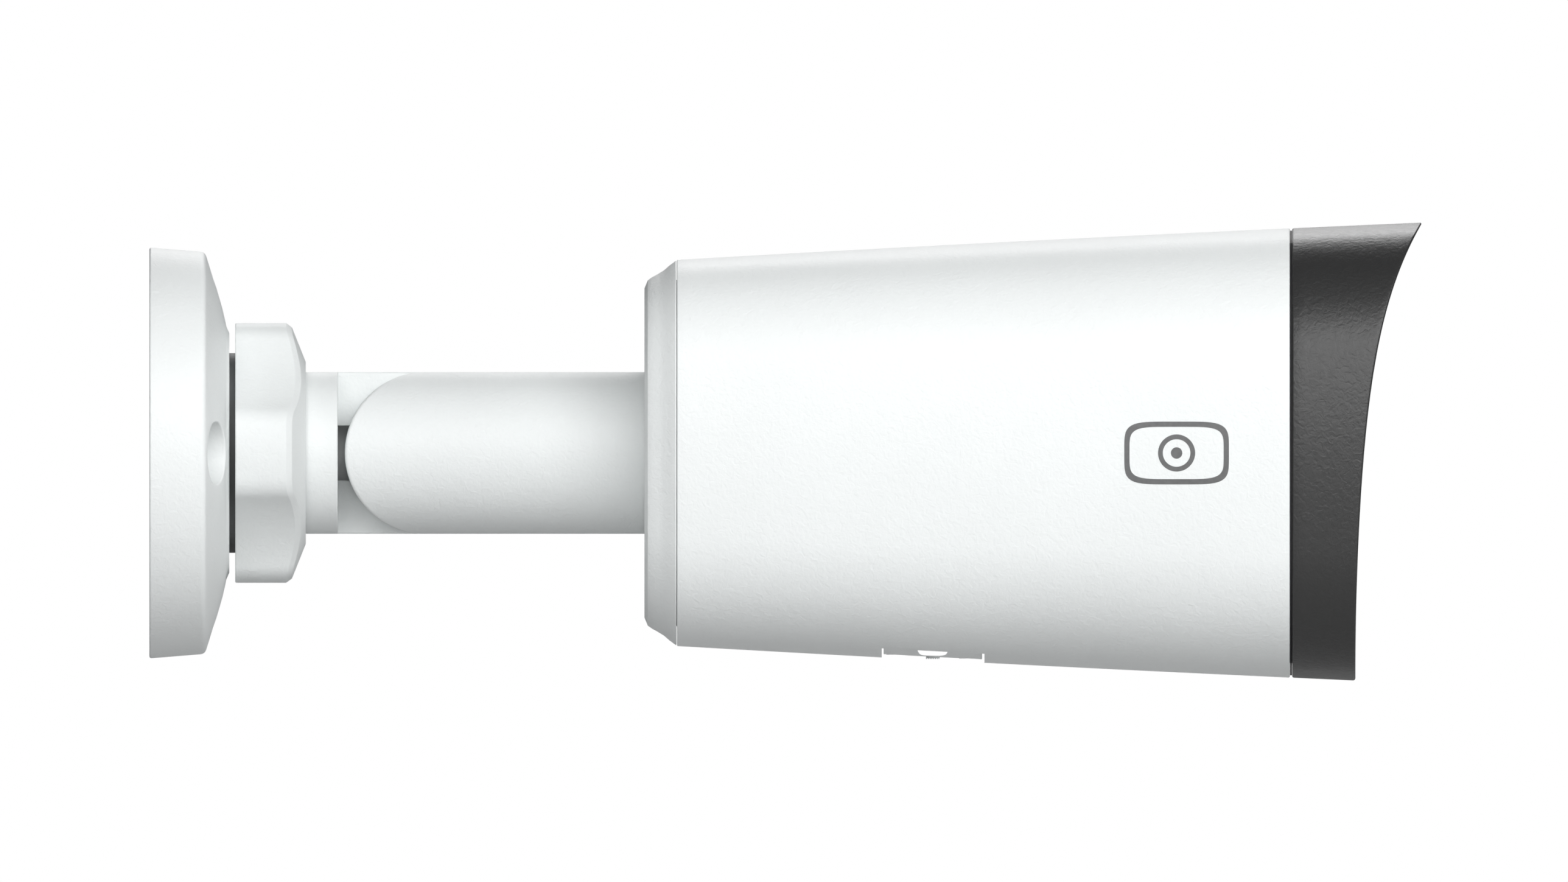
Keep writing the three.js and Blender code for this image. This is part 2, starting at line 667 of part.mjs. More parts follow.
function housing() {
  const outside = loft(bodyStations(BODY.start, BODY.end, 0, 5));
  const inside = loft(bodyStations(BODY.start - 0.5, BODY.end + 0.5, BODY.wall, 3));
  const padX = [HATCH.start - HATCH_PAD.margin, HATCH.end + HATCH_PAD.margin];
  const pad = block(padX, [-HATCH_PAD.half, HATCH_PAD.half], [HATCH_PAD.bottom, HATCH_PAD.top]).intersect(
    loft(bodyStations(HATCH.start - 10, HATCH.end + 10, 1, 1)),
  );
  const posts = serviceCorners().map(([x, y]) =>
    barZ(SERVICE.post, HATCH_PAD.top - 1, SERVICE.bottom - SEAT, x, y, 12));
  const rails = [[RAIL.inner, RAIL.outer], [-RAIL.outer, -RAIL.inner]].map((y) =>
    block([CHASSIS.start + 2, CHASSIS.end - 20], y, [RAIL.bottom, RAIL.top]).intersect(
      loft(bodyStations(BODY.start + 10, BODY.end - 10, 1, 3)),
    ));
  const rearBosses = corners(REAR_SCREW.offset).map((at) =>
    cornerBoss(at, REAR_SCREW, REAR.spigotEnd + 1, REAR_SCREW.tip + 2));
  const frontBosses = corners(FRONT_SCREW.offset).map((at) =>
    cornerBoss(at, FRONT_SCREW, FRONT_SCREW.tip - 4, FRONT_SCREW.bossEnd));
  const roof = (x) => underside(x, HATCH.recess);
  const sealTop = roof(HATCH.start) + HATCH_SEAL.height + HATCH_SEAL.play;
  const sealGroove = cut(
    aroundOpening(HATCH_SEAL.groove, BELOW, sealTop),
    aroundOpening(HATCH_SEAL.inner, BELOW - 1, sealTop + 1),
  );
  return cut(
    join(cut(outside, inside), pad, ...posts, ...rails, ...rearBosses, ...frontBosses),
    belowPlane(HATCH.start, HATCH.end, roof(HATCH.start), roof(HATCH.end)),
    sealGroove,
    aroundOpening(0, BELOW, HATCH.openTop),
    ...HATCH_SCREW.at.map((x) =>
      barZ(HATCH_SCREW.shank + HATCH_SCREW.fit, BELOW, HATCH_PAD.top - 1, x, 0, 12)),
    ...corners(REAR_SCREW.offset).map(([y, z]) =>
      barX(REAR_SCREW.shank + THREAD_FIT, REAR.spigotEnd, REAR_SCREW.tip + 1, y, z, 8)),
    ...corners(FRONT_SCREW.offset).map(([y, z]) =>
      barX(FRONT_SCREW.shank + THREAD_FIT, FRONT_SCREW.tip - 1, FRONT_SCREW.bossEnd + 1, y, z, 8)),
  );
}

function hatchCover() {
  const x0 = HATCH.start + HATCH.gap;
  const x1 = HATCH.end - HATCH.gap;
  const top = (x) => underside(x, HATCH.recess) - SEAT;
  const cover = belowPlane(x0, x1, top(x0), top(x1)).intersect(
    loft(bodyStations(x0 - 1, x1 + 1, HATCH.sink, 2)),
  );
  const grip = block(GRIP.x, [-GRIP.half, GRIP.half], GRIP.z);
  return cut(
    join(cover, grip),
    sideSlab(FINGER_SLOT, HATCH.half),
    ...HATCH_SCREW.at.flatMap((x) => [
      barZ(HATCH_SCREW.shank + HATCH_SCREW.clearance, BELOW, HATCH_PAD.top - 1, x, 0, 12),
      barZ(HATCH_SCREW.head + HATCH_SCREW.fit, BELOW, top(x) - HATCH_SCREW.land, x, 0, 16),
    ]),
  );
}

function hatchSeal() {
  const z0 = underside(HATCH.start, HATCH.recess);
  const z1 = z0 + HATCH_SEAL.height;
  return cut(
    aroundOpening(HATCH_SEAL.groove - HATCH_SEAL.play, z0, z1),
    aroundOpening(HATCH_SEAL.inner + HATCH_SEAL.play, z0 - 1, z1 + 1),
  );
}

/** A slotted countersunk screw that holds the hatch. */
function hatchScrew(x) {
  const top = underside(x, HATCH.recess) - SEAT - HATCH_SCREW.headHeight;
  const crown = underside(x, HATCH.sink);
  const head = barZ(HATCH_SCREW.head, crown + 0.05, top, x, 0, 16);
  const [length, width, depth] = HATCH_SCREW.slot;
  return cut(
    join(head, barZ(HATCH_SCREW.shank, top - 0.05, HATCH_SCREW.tip, x, 0, 12)),
    block([x - length, x + length], [-width, width], [BELOW, crown + depth]),
  );
}

function serviceBoard() {
  return block(
    [SERVICE.start, SERVICE.end],
    [-SERVICE.half, SERVICE.half],
    [SERVICE.bottom, SERVICE.bottom + SERVICE.sheet],
  );
}

function cardSocket() {
  const [y0, y1] = CARD_SOCKET.y;
  return cut(
    block(CARD_SOCKET.x, [y0, y1], [CARD_SOCKET.bottom, SERVICE.bottom - SEAT]),
    block(CARD_SOCKET.slot, [y0 + 0.5, y1 - 0.5], [CARD_SOCKET.bottom - 1, CARD_SOCKET.slotTop]),
  );
}

function resetSwitch() {
  const half = RESET.switchHalf;
  return block(
    [RESET.x - half, RESET.x + half],
    [RESET.y - half, RESET.y + half],
    [RESET.switchTop, SERVICE.bottom - SEAT],
  );
}

// ---------------------------------------------------------------- visor and front window

/** X of the hood's front edge at a height in the side view. */
function hoodEdge(z) {
  const u = (z - HOOD.lowZ) / HOOD.height;
  return HOOD.bottom + HOOD.sweep * u * u + HOOD.hook * u ** HOOD.hookPower;
}

function visor() {
  const skirtDepth = BODY.wall + VISOR.spigotDrop;
  const body = join(
    loft(bodyStations(VISOR.start, VISOR.stockEnd, 0, 2)),
    loft(bodyStations(VISOR.spigotStart, VISOR.start + 1, skirtDepth, 1)),
  );
  const edge = Array.from({ length: HOOD.steps + 1 }, (_, i) => {
    const z = -HOOD.tall + (i * 2 * HOOD.tall) / HOOD.steps;
    return [hoodEdge(z), z];
  });
  const ahead = VISOR.stockEnd + 30;
  return cut(
    body,
    sideSlab([...edge, [ahead, HOOD.tall], [ahead, -HOOD.tall]], HOOD.tall),
    loft(bodyStations(VISOR.lipEnd, VISOR.stockEnd + 1, VISOR.hood, 2)),
    loft(bodyStations(VISOR.spigotStart - 1, VISOR.start + 0.8, skirtDepth + VISOR.spigotWall, 1)),
    plate(WINDOW.apertureHalf, VISOR.start, VISOR.glassStop),
    plate(WINDOW.lipHalf, VISOR.start, VISOR.lipEnd + 1),
    ...corners(FRONT_SCREW.offset).map(([y, z]) =>
      barX(FRONT_SCREW.shank + GAP, VISOR.spigotStart - 1, VISOR.lipEnd + 1, y, z, 8)),
  );
}

function frontBezel() {
  const before = WINDOW.bezelStart - 1;
  const beyond = WINDOW.glassStart + 1;
  return cut(
    plate(WINDOW.half, WINDOW.bezelStart, WINDOW.glassStart - SEAT),
    barX(LENS.radius + LENS.bezelRoom, before, beyond, 0, 0, 28),
    barX(LIGHT_SENSOR.window, before, beyond, 0, LIGHT_SENSOR.z, 12),
    ...corners(LED_OFFSET).map(([y, z]) => barX(LED_WINDOW_RADIUS, before, beyond, y, z, 16)),
  );
}

// ---------------------------------------------------------------- electronics

function chassis() {
  const { start, end, half, top, sheet, wallHalf, wallTop, lensRoom } = CHASSIS;
  const deck = block([start, end], [-half, half], [top - sheet, top]);
  const wall = block([end - sheet, end], [-wallHalf, wallHalf], [top - 1, wallTop]);
  const boardPosts = [BOARD.start + BOARD.inset, BOARD.end - BOARD.inset].flatMap((x) =>
    [-1, 1].map((side) =>
      barZ(BOARD.post, top - 1, BOARD.bottom - SEAT, x, side * (BOARD.half - BOARD.inset), 12)));
  const ledPosts = [-1, 1].map((side) =>
    barX(LED_BOARD.postRadius, end - 1, LED_BOARD.start - SEAT, side * LED_BOARD.postY, 0, 12));
  return cut(
    join(deck, wall, ...boardPosts, ...ledPosts),
    barX(LENS.radius + lensRoom, end - sheet - 1, end + 1, 0, 0, 32),
  );
}

/** The main board with its processor soldered on. */
function mainBoard() {
  const top = BOARD.bottom + BOARD.sheet;
  return join(
    block([BOARD.start, BOARD.end], [-BOARD.half, BOARD.half], [BOARD.bottom, top]),
    block(PROCESSOR.x, [-PROCESSOR.half, PROCESSOR.half], [top - 0.5, PROCESSOR.top]),
  );
}

function heatSink() {
  const foot = block(SINK.x, [-SINK.half, SINK.half], SINK.foot);
  const fins = Array.from({ length: SINK.fins }, (_, i) => {
    const y = i * SINK.pitch - SINK.half + 0.5;
    return block(SINK.x, [y, y + SINK.fin], [SINK.foot[1] - 0.6, SINK.top]);
  });
  return join(foot, ...fins);
}

// ---------------------------------------------------------------- optics

/** The board behind the lens with the image sensor's package soldered on. */
function sensorBoard() {
  const [y, z] = SENSOR.chipHalf;
  return join(
    block(SENSOR.board, [-SENSOR.boardHalf, SENSOR.boardHalf], [-SENSOR.boardHalf, SENSOR.boardHalf]),
    block(SENSOR.chip, [-y, y], [-z, z]),
  );
}

/** The lens mount: a body with the filter's slot, a flange for the motors and a foot on the chassis. */
function lensMount() {
  const [flangeY, flangeZ] = MOUNT.flangeHalf;
  return cut(
    join(
      block(MOUNT.body, [-MOUNT.half, MOUNT.half], [-MOUNT.half, MOUNT.half]),
      block(MOUNT.flange, [-flangeY, flangeY], [-flangeZ, flangeZ]),
      block(MOUNT.foot, [-MOUNT.footHalf, MOUNT.footHalf], [CHASSIS.top + SEAT, 1 - flangeZ]),
    ),
    barX(LENS.apertureRadius, MOUNT.body[0] - 1, MOUNT.flange[1] + 1, 0, 0, 32),
    block(FILTER.slot, FILTER.slotY, [-FILTER.slotHalf, FILTER.slotHalf]),
  );
}

function filterGlass() {
  const [y, z] = FILTER.half;
  return block(FILTER.glass, [-y, y], [-z, z]);
}

function lensBarrel() {
  return turned([
    [LENS.start, LENS.apertureRadius], [LENS.start, LENS.radius], [LENS.end, LENS.radius],
    [LENS.end, LENS.cupRadius + LENS.flare], [LENS.recess + LENS.cupDepth, LENS.cupRadius],
    [LENS.recess, LENS.cupRadius], [LENS.recess, LENS.apertureRadius],
  ], 28);
}

const lensFront = () => turned(LENS_GLASS.map(([x, radius]) => [LENS.recess + x, radius]), 28);

function ledBoard() {
  return cut(
    plate(LED_BOARD.half, LED_BOARD.start, LED_BOARD.end),
    barX(LENS.radius + LED_BOARD.lensRoom, LED_BOARD.start - 1, LED_BOARD.end + 1, 0, 0, 32),
  );
}

/** A domed infra-red lamp soldered to the front of its board. */
const irLed = (y, z) => turned(LED_PROFILE, 16).translate([0, y, z]);

// ---------------------------------------------------------------- assembly

const camera = new THREE.Group();

function add(name, material, body) {
  const mesh = new THREE.Mesh(toGeometry(body), material);
  mesh.name = name;
  camera.add(mesh);
}

const { shell, rubber, steel, alloy, nylon, board, glass, brass, black } = MATERIAL;
const shank = TILT_SCREW.shank;

add('base_plate', shell, basePlate());
add('seat_washer', nylon, tube(
  SEAT_WASHER.inner, SEAT_WASHER.outer, BASE.neckEnd + SEAT, STEM.flangeStart - SEAT, 24,
));
add('slip_ring', nylon, tube(
  ARM_RADIUS + GAP, SLIP_RING_RADIUS, STEM.flangeEnd + SEAT, NUT.lipStart - SEAT,
));
add('lock_nut', shell, lockNut());
add('stem', shell, stem());
add('cable_grommet', rubber, tube(
  CABLE_RADIUS, GROMMET.radius - GAP, STEM.flangeStart + 1, GROMMET.end - GAP, 24,
));
add('elbow_washer', nylon, ringY(shank + GAP, HUB.radius - GAP, -HUB.washerHalf, HUB.washerHalf));
add('threaded_insert', brass, ringY(shank + 0.1, shank + INSERT.wall, TILT_SCREW.tip, INSERT.end));
add('tilt_screw', steel, tiltScrew());
add('tilt_lock_washer', steel, ringY(
  shank + TILT_SCREW.clearance,
  TILT_SCREW.head,
  TILT_SCREW.headStart - TILT_SCREW.washer,
  TILT_SCREW.headStart - SEAT,
));
add('arm', shell, arm());

add('swivel_oring', rubber, tube(ORING.inner, ORING.outer, ORING.start, ORING.end, 40));
add('swivel_retainer', alloy, tube(RETAINER.inner, SWIVEL.seatRadius - GAP, RETAINER.start, RETAINER.end));
add('rear_cover', shell, rearCover());
add('rear_gasket', rubber, frame(
  REAR.spigotHalf + GAP, BODY.startHalf - BODY.wall - GAP, REAR_GASKET.start, REAR_GASKET.end,
));
corners(REAR_SCREW.offset).forEach((at, i) => {
  add(`rear_screw_${i + 1}`, steel, screwX(at, REAR_SCREW, REAR.start + REAR_SCREW.headDepth - SEAT));
});

add('housing', shell, housing());
add('hatch_cover', shell, hatchCover());
add('hatch_seal', rubber, hatchSeal());
HATCH_SCREW.at.forEach((x, i) => add(`hatch_screw_${i + 1}`, steel, hatchScrew(x)));

const seamHalf = bodyHalf(BODY.end);
const squeeze = FRONT_GASKET.squeeze;
add('front_gasket', rubber, frame(
  seamHalf - FRONT_GASKET.inner, seamHalf - FRONT_GASKET.outer, BODY.end + squeeze, VISOR.start - squeeze,
));
add('visor', MATERIAL.visor, visor());
corners(FRONT_SCREW.offset).forEach((at, i) => {
  add(`front_screw_${i + 1}`, steel, screwX(at, FRONT_SCREW, VISOR.lipEnd + SEAT));
});
add('front_bezel', black, frontBezel());
add('front_glass', glass, plate(WINDOW.half, WINDOW.glassStart, WINDOW.glassEnd));
add('glass_gasket', rubber, frame(
  WINDOW.lipHalf + 0.2, WINDOW.half, WINDOW.glassEnd + SEAT, VISOR.glassStop - SEAT,
));

add('chassis', alloy, chassis());
add('main_board', board, mainBoard());
add('thermal_pad', nylon, block(
  PROCESSOR.x, [-PROCESSOR.half, PROCESSOR.half], [PROCESSOR.top + SEAT, PAD_TOP],
));
add('heat_sink', alloy, heatSink());
add('network_connector', nylon, block(CONNECTOR.x, [-CONNECTOR.half, CONNECTOR.half], CONNECTOR.z));
add('service_board', board, serviceBoard());
add('sd_socket', steel, cardSocket());
add('reset_switch', MATERIAL.chip, resetSwitch());
add('reset_button', nylon, barZ(RESET.radius, RESET.bottom, RESET.top, RESET.x, RESET.y, 12));

add('sensor_board', board, sensorBoard());
add('lens_mount', black, lensMount());
add('ircut_filter', glass, filterGlass());
add('lens_barrel', black, lensBarrel());
add('lens_front', glass, lensFront());

const centreDistance = (GEAR.module * (GEAR.ringTeeth + GEAR.pinionTeeth)) / 2;
const halfTooth = Math.PI / GEAR.pinionTeeth;
for (const [name, x, side] of [['zoom', RING_X.zoom, -1], ['focus', RING_X.focus, 1]]) {
  const y = side * centreDistance;
  const phase = side > 0 ? Math.PI + halfTooth : halfTooth;
  add(`${name}_ring`, black, gear(GEAR.ringTeeth, 0, LENS.radius + GAP, x));
  add(`${name}_motor`, steel, barX(MOTOR.radius, MOTOR.start, x - MOTOR.gap, y, 0, 20));
  add(`${name}_pinion`, brass, gear(GEAR.pinionTeeth, phase, PINION_BORE, x, y));
}

add('led_board', board, ledBoard());
corners(LED_OFFSET).forEach(([y, z], i) => add(`ir_led_${i + 1}`, MATERIAL.led, irLed(y, z)));
add('light_sensor', glass, barX(
  LIGHT_SENSOR.radius, LIGHT_SENSOR.start, LIGHT_SENSOR.end, 0, LIGHT_SENSOR.z, 12,
));
add('light_seal', rubber, tube(
  LENS.radius + GAP, LENS.radius + LIGHT_SEAL.wall, LIGHT_SEAL.start, LIGHT_SEAL.end, 32,
));

export default camera;
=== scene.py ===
"""Looks for the bullet security camera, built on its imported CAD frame.

Every shell that shows is rebuilt here as a smooth mesh at the CAD's own sizes and rides on the
CAD body that it belongs to. Sizes are in millimetres and are turned into metres by MM.
"""
import json
import math

import bmesh
import bpy
from mathutils import Matrix, Vector


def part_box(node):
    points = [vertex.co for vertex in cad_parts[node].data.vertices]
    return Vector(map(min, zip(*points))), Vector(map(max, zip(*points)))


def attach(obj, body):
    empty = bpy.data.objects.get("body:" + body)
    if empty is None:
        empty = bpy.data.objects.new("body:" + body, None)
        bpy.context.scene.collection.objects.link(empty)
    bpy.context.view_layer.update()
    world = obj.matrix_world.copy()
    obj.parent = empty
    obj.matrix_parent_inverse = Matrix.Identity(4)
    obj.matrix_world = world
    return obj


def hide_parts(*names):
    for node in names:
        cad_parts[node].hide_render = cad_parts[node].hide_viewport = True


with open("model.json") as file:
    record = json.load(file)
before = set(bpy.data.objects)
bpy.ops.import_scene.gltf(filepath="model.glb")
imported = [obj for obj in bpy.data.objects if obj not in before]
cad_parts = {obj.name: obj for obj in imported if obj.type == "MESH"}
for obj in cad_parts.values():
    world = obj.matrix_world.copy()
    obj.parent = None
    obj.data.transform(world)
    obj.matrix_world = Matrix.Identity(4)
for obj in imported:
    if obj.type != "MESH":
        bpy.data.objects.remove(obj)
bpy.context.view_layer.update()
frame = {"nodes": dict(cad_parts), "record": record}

MM = 0.001
BODIES = frame["record"]["behaviour"]["bodies"]
BODY_OF = {node: body for body, nodes in BODIES.items() for node in nodes}


def span(node):
    """[(low, high), ...] of a CAD node along X, Y and Z, in millimetres."""
    low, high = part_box(node)
    return [(a / MM, b / MM) for a, b in zip(low, high)]


def centre_of(node):
    """(y, z) of the middle of a CAD node, as seen along X."""
    _, y, z = span(node)
    return sum(y) / 2, sum(z) / 2


# ------------------------------------------------------------------ sizes from the frame

WALL_X, NECK_END = span("base_plate")[0]
RIM_R = span("base_plate")[1][1]
NUT_X0, NUT_X1 = span("lock_nut")[0]
NUT_R = span("lock_nut")[1][1]
STEM_X0 = span("stem")[0][0]
ARM_X0, ARM_X1 = span("arm")[0]
BAR_R = -span("arm")[1][0] - 3  # the arm's widest part is its hidden flange, 3 mm proud of the bar
ELBOW_X = ARM_X0 + BAR_R
SHOULDER = 18.5  # from the elbow's axis to either shoulder
HUB_R = 6.4
FLANGE_ROOT = 15.0  # the flanges of stem and arm start inside the bar
BORE_R, WIDE_BORE_R = 5.8, 9.0  # the cable's bore near the elbow and away from it
REAR_X0, SPIGOT_X1 = span("rear_cover")[0]
BODY_X0, BODY_X1 = span("housing")[0]
REAR_SEAM = BODY_X0 - 0.1
VISOR_X0 = BODY_X1 + 0.5
HATCH_X0, HATCH_X1 = span("hatch_cover")[0]
BELOW = -60  # height that the tools for the body's underside start from
WIDE = 30  # half width of a tool that passes right under the body
GLASS_X0, GLASS_X1 = span("front_glass")[0]
BEZEL_X0, BEZEL_X1 = span("front_bezel")[0]
LENS_X0 = span("lens_front")[0][0]
WINDOW_HALF = span("front_glass")[1][1]
LIP_X = 250.0
LIP_HALF = WINDOW_HALF - 2.4
HOOD_WALL = 2.4
BODY_WALL = 2.5
CLEARANCE_R = 1.9  # holes for the shanks of the rear and front screws

WALL_HOLE_CIRCLE = 33.8
WALL_HOLE_R = 6.55
WALL_HOLE_FLOOR = 5.0
NECK_R = 20.9
NECK_X = 16.8  # where the neck rises from the base's front
BASE_FRONT = [  # (x, r) down the base's coned front
    (11.7, 42.25), (12.8, 38.7), (13.4, 36.7), (14.1, 34.7), (14.75, 32.5), (15.4, 30.2),
    (16, 27.6),
]

SIDE_RADIUS = 2.844  # of the body's bowed sides, for a half height of 1
SIDE_BOW = 9  # degrees that a bowed side takes on either side of its middle


def body_half(x):
    """Half height of the camera body's outer surface at a station along X: a shallow bow."""
    rear_half, flare, bow = 40.6, 0.0575, 4.7e-5
    d = x - BODY_X0
    return rear_half + flare * d - bow * d * d


def hood_edge(z):
    """X of the hood's front edge at a height in the side view: it leans forward to the brow."""
    bottom_z, height, bottom_x = -47.2, 95, 253.6
    u = (z - bottom_z) / height
    return bottom_x + 7 * u**2 + 6.7 * u**6


# ------------------------------------------------------------------ mesh tools


def link(name, data):
    """An object with that data, put in the scene."""
    obj = bpy.data.objects.new(name, data)
    bpy.context.scene.collection.objects.link(obj)
    return obj


def build(name, verts, faces):
    """A mesh object from points in millimetres, welded and with its faces pointing out."""
    mesh = bpy.data.meshes.new(name)
    mesh.from_pydata([Vector(v) * MM for v in verts], [], faces)
    work = bmesh.new()
    work.from_mesh(mesh)
    bmesh.ops.remove_doubles(work, verts=work.verts, dist=1e-6)
    bmesh.ops.dissolve_degenerate(work, edges=work.edges, dist=1e-7)
    loose = [edge for edge in work.edges if not edge.link_faces]
    bmesh.ops.delete(work, geom=loose, context="EDGES")
    bmesh.ops.recalc_face_normals(work, faces=work.faces)
    work.to_mesh(mesh)
    work.free()
    return link(name, mesh)


def arc_corner(before, corner, after, radius, steps=5):
    """Points that round a corner of an outline by an arc of about that radius."""
    corner = Vector(corner)
    to_before = Vector(before) - corner
    to_after = Vector(after) - corner
    half = to_before.angle(to_after) / 2
    reach = min(radius / math.tan(half), 0.48 * to_before.length, 0.48 * to_after.length)
    start = corner + to_before.normalized() * reach
    end = corner + to_after.normalized() * reach
    points = []
    for i in range(steps + 1):
        t = i / steps
        points.append((1 - t) ** 2 * start + 2 * t * (1 - t) * corner + t**2 * end)
    return points


def rounded(outline):
    """A closed outline of (x, r) or (x, r, rounding) points with its rounded corners drawn in."""
    points = []
    for i, point in enumerate(outline):
        if len(point) < 3:
            points.append(Vector(point[:2]))
            continue
        before = outline[i - 1][:2]
        after = outline[(i + 1) % len(outline)][:2]
        points.extend(arc_corner(before, point[:2], after, point[2]))
    return points


def circle(count=128):
    angles = [2 * math.pi * i / count for i in range(count)]
    return [(math.cos(angle), math.sin(angle)) for angle in angles]


def rounded_square(side_steps=10, corner_steps=18):
    """The camera's section for a half height of 1: slightly bowed sides and round corners."""
    bow = math.radians(SIDE_BOW)
    side_centre = 1 - SIDE_RADIUS
    meet = (side_centre + SIDE_RADIUS * math.cos(bow), SIDE_RADIUS * math.sin(bow))
    corner_radius = (meet[0] - meet[1]) / (math.cos(bow) - math.sin(bow))
    corner_centre = meet[0] - corner_radius * math.cos(bow)
    points = []

    def arc(cx, cy, radius, low, high, steps):
        for i in range(steps):
            angle = low + (high - low) * i / steps
            points.append((cx + radius * math.cos(angle), cy + radius * math.sin(angle)))

    for side in range(4):
        middle = side * math.pi / 2
        corner = middle + math.pi / 4
        reach = corner_centre * math.sqrt(2)
        arc(
            side_centre * math.cos(middle), side_centre * math.sin(middle), SIDE_RADIUS,
            middle - bow, middle + bow, side_steps,
        )
        arc(
            reach * math.cos(corner), reach * math.sin(corner), corner_radius,
            middle + bow, middle + math.pi / 2 - bow, corner_steps,
        )
    return points


CIRCLE = circle()
SMALL_CIRCLE = circle(48)
SQUARE = rounded_square()


def grid(name, rings):
    """A closed skin through rings of points; the last ring meets the first."""
    count = len(rings[0])
    verts = [point for ring in rings for point in ring]
    faces = []
    for i in range(len(rings)):
        j = (i + 1) % len(rings)
        for k in range(count):
            m = (k + 1) % count
            faces.append((i * count + k, i * count + m, j * count + m, j * count + k))
    return build(name, verts, faces)


def stack(name, rings):
    """A closed skin through rings of points, with a flat face at either end."""
    count = len(rings[0])
    last = (len(rings) - 1) * count
    verts = [point for ring in rings for point in ring]
    faces = [tuple(range(count)), tuple(range(last + count - 1, last - 1, -1))]
    for i in range(len(rings) - 1):
        for k in range(count):
            m = (k + 1) % count
            faces.append((i * count + k, (i + 1) * count + k, (i + 1) * count + m, i * count + m))
    return build(name, verts, faces)


def offset(outline, distance):
    """A closed counter-clockwise outline moved outward, each point along its own normal."""
    moved = []
    for i, point in enumerate(outline):
        along = (point - outline[i - 1]).normalized()
        onward = (outline[(i + 1) % len(outline)] - point).normalized()
        way = (along + onward).normalized()
        moved.append(point + distance / max(0.5, way.dot(along)) * Vector((way.y, -way.x)))
    return moved


def mouthed_hole(at, radius, floor, surface, world, flare=0.35, count=96):
    """A round hole's tool whose rounded mouth follows the surface that it opens on.

    surface(a, b) is the surface's height at a place across the hole, and world turns a place
    and a height into a point.
    """
    def ring(r, height):
        points = []
        for k in range(count):
            angle = 2 * math.pi * k / count
            a = at[0] + r * math.cos(angle)
            b = at[1] + r * math.sin(angle)
            points.append(world(a, b, height(a, b)))
        return points

    rings = [ring(radius, lambda a, b: floor)]
    for i in range(5):
        turn_by = math.pi / 8 * i
        sunk = flare * (1 - math.sin(turn_by))
        wider = radius + flare * (1 - math.cos(turn_by))
        rings.append(ring(wider, lambda a, b: surface(a, b) - sunk))
    rings.append(ring(radius + flare, lambda a, b: surface(a, b) + 5))
    return stack("tool", rings)


def sweep(name, outline, ring=CIRCLE, at=(0, 0)):
    """A closed outline of (x, size) points carried round a ring, with its axis parallel to X."""
    rings = [[(x, at[0] + y * r, at[1] + z * r) for y, z in ring] for x, r in rounded(outline)]
    return grid(name, rings)


def bar_x(radius, x0, x1, y=0, z=0, ring=CIRCLE):
    return sweep("tool", [(x0, 0), (x0, radius), (x1, radius), (x1, 0)], ring, (y, z))


def turn(obj, matrix):
    obj.data.transform(matrix)
    return obj


def bar_y(radius, y0, y1, x, z=0, ring=CIRCLE):
    bar = bar_x(radius, y0, y1, 0, 0, ring)
    turn(bar, Matrix.Rotation(math.pi / 2, 4, "Z"))
    return turn(bar, Matrix.Translation((x * MM, 0, z * MM)))


def bar_z(radius, z0, z1, x, y=0, ring=SMALL_CIRCLE):
    bar = bar_x(radius, z0, z1, 0, 0, ring)
    turn(bar, Matrix.Rotation(-math.pi / 2, 4, "Y"))
    return turn(bar, Matrix.Translation((x * MM, y * MM, 0)))


def block(x, y, z):
    corners = [(a, b, c) for a in x for b in y for c in z]
    faces = [(0, 1, 3, 2), (4, 6, 7, 5), (0, 4, 5, 1), (2, 3, 7, 6), (0, 2, 6, 4), (1, 5, 7, 3)]
    return build("tool", corners, faces)


def side_slab(outline, half):
    """An outline of (x, z) points in the side view, carried from -half to half in Y."""
    count = len(outline)
    verts = [(x, side * half, z) for side in (-1, 1) for x, z in outline]
    faces = [tuple(range(count)), tuple(range(2 * count - 1, count - 1, -1))]
    faces += [(i, (i + 1) % count, count + (i + 1) % count, count + i) for i in range(count)]
    return build("tool", verts, faces)


def bake(obj):
    """Applies an object's modifiers."""
    scene = bpy.context.evaluated_depsgraph_get()
    scene.update()
    mesh = bpy.data.meshes.new_from_object(obj.evaluated_get(scene))
    obj.modifiers.clear()
    obj.data = mesh
    return obj


def weld(obj, distance=0.004):
    """Closes the hair cracks that a cut leaves between points that should be one."""
    work = bmesh.new()
    work.from_mesh(obj.data)
    bmesh.ops.remove_doubles(work, verts=work.verts, dist=distance * MM)
    bmesh.ops.dissolve_degenerate(work, edges=work.edges, dist=distance / 2 * MM)
    work.to_mesh(obj.data)
    work.free()


def boolean(obj, operation, *tools):
    for tool in tools:
        step = obj.modifiers.new("step", "BOOLEAN")
        step.operation = operation
        step.solver = "EXACT"
        step.object = tool
        bake(obj)
        weld(obj)
        bpy.data.objects.remove(tool)
    return obj


def cut(obj, *tools):
    return boolean(obj, "DIFFERENCE", *tools)


def soften(obj, width, angle=35, steps=2):
    """Small bevels on every edge sharper than the angle."""
    weld(obj, 0.02)
    bevel = obj.modifiers.new("bevel", "BEVEL")
    bevel.width = width * MM
    bevel.segments = steps
    bevel.limit_method = "ANGLE"
    bevel.angle_limit = math.radians(angle)
    bevel.use_clamp_overlap = False
    return bake(obj)


def dress(obj, name, material, nodes=(), body=None, angle=40):
    """Names and shades a piece, gives it its material and body, and hides the CAD nodes that it
    replaces.
    """
    obj.name = name
    obj.data.name = name
    for polygon in obj.data.polygons:
        polygon.use_smooth = True
    obj.data.set_sharp_from_angle(angle=math.radians(angle))
    obj.data.materials.clear()
    obj.data.materials.append(material)
    if nodes:
        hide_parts(*nodes)
    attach(obj, body or BODY_OF[nodes[0]])
    return obj


SLOT_OF = {part["node"]: part["material_slot"] for part in frame["record"]["subparts"]}

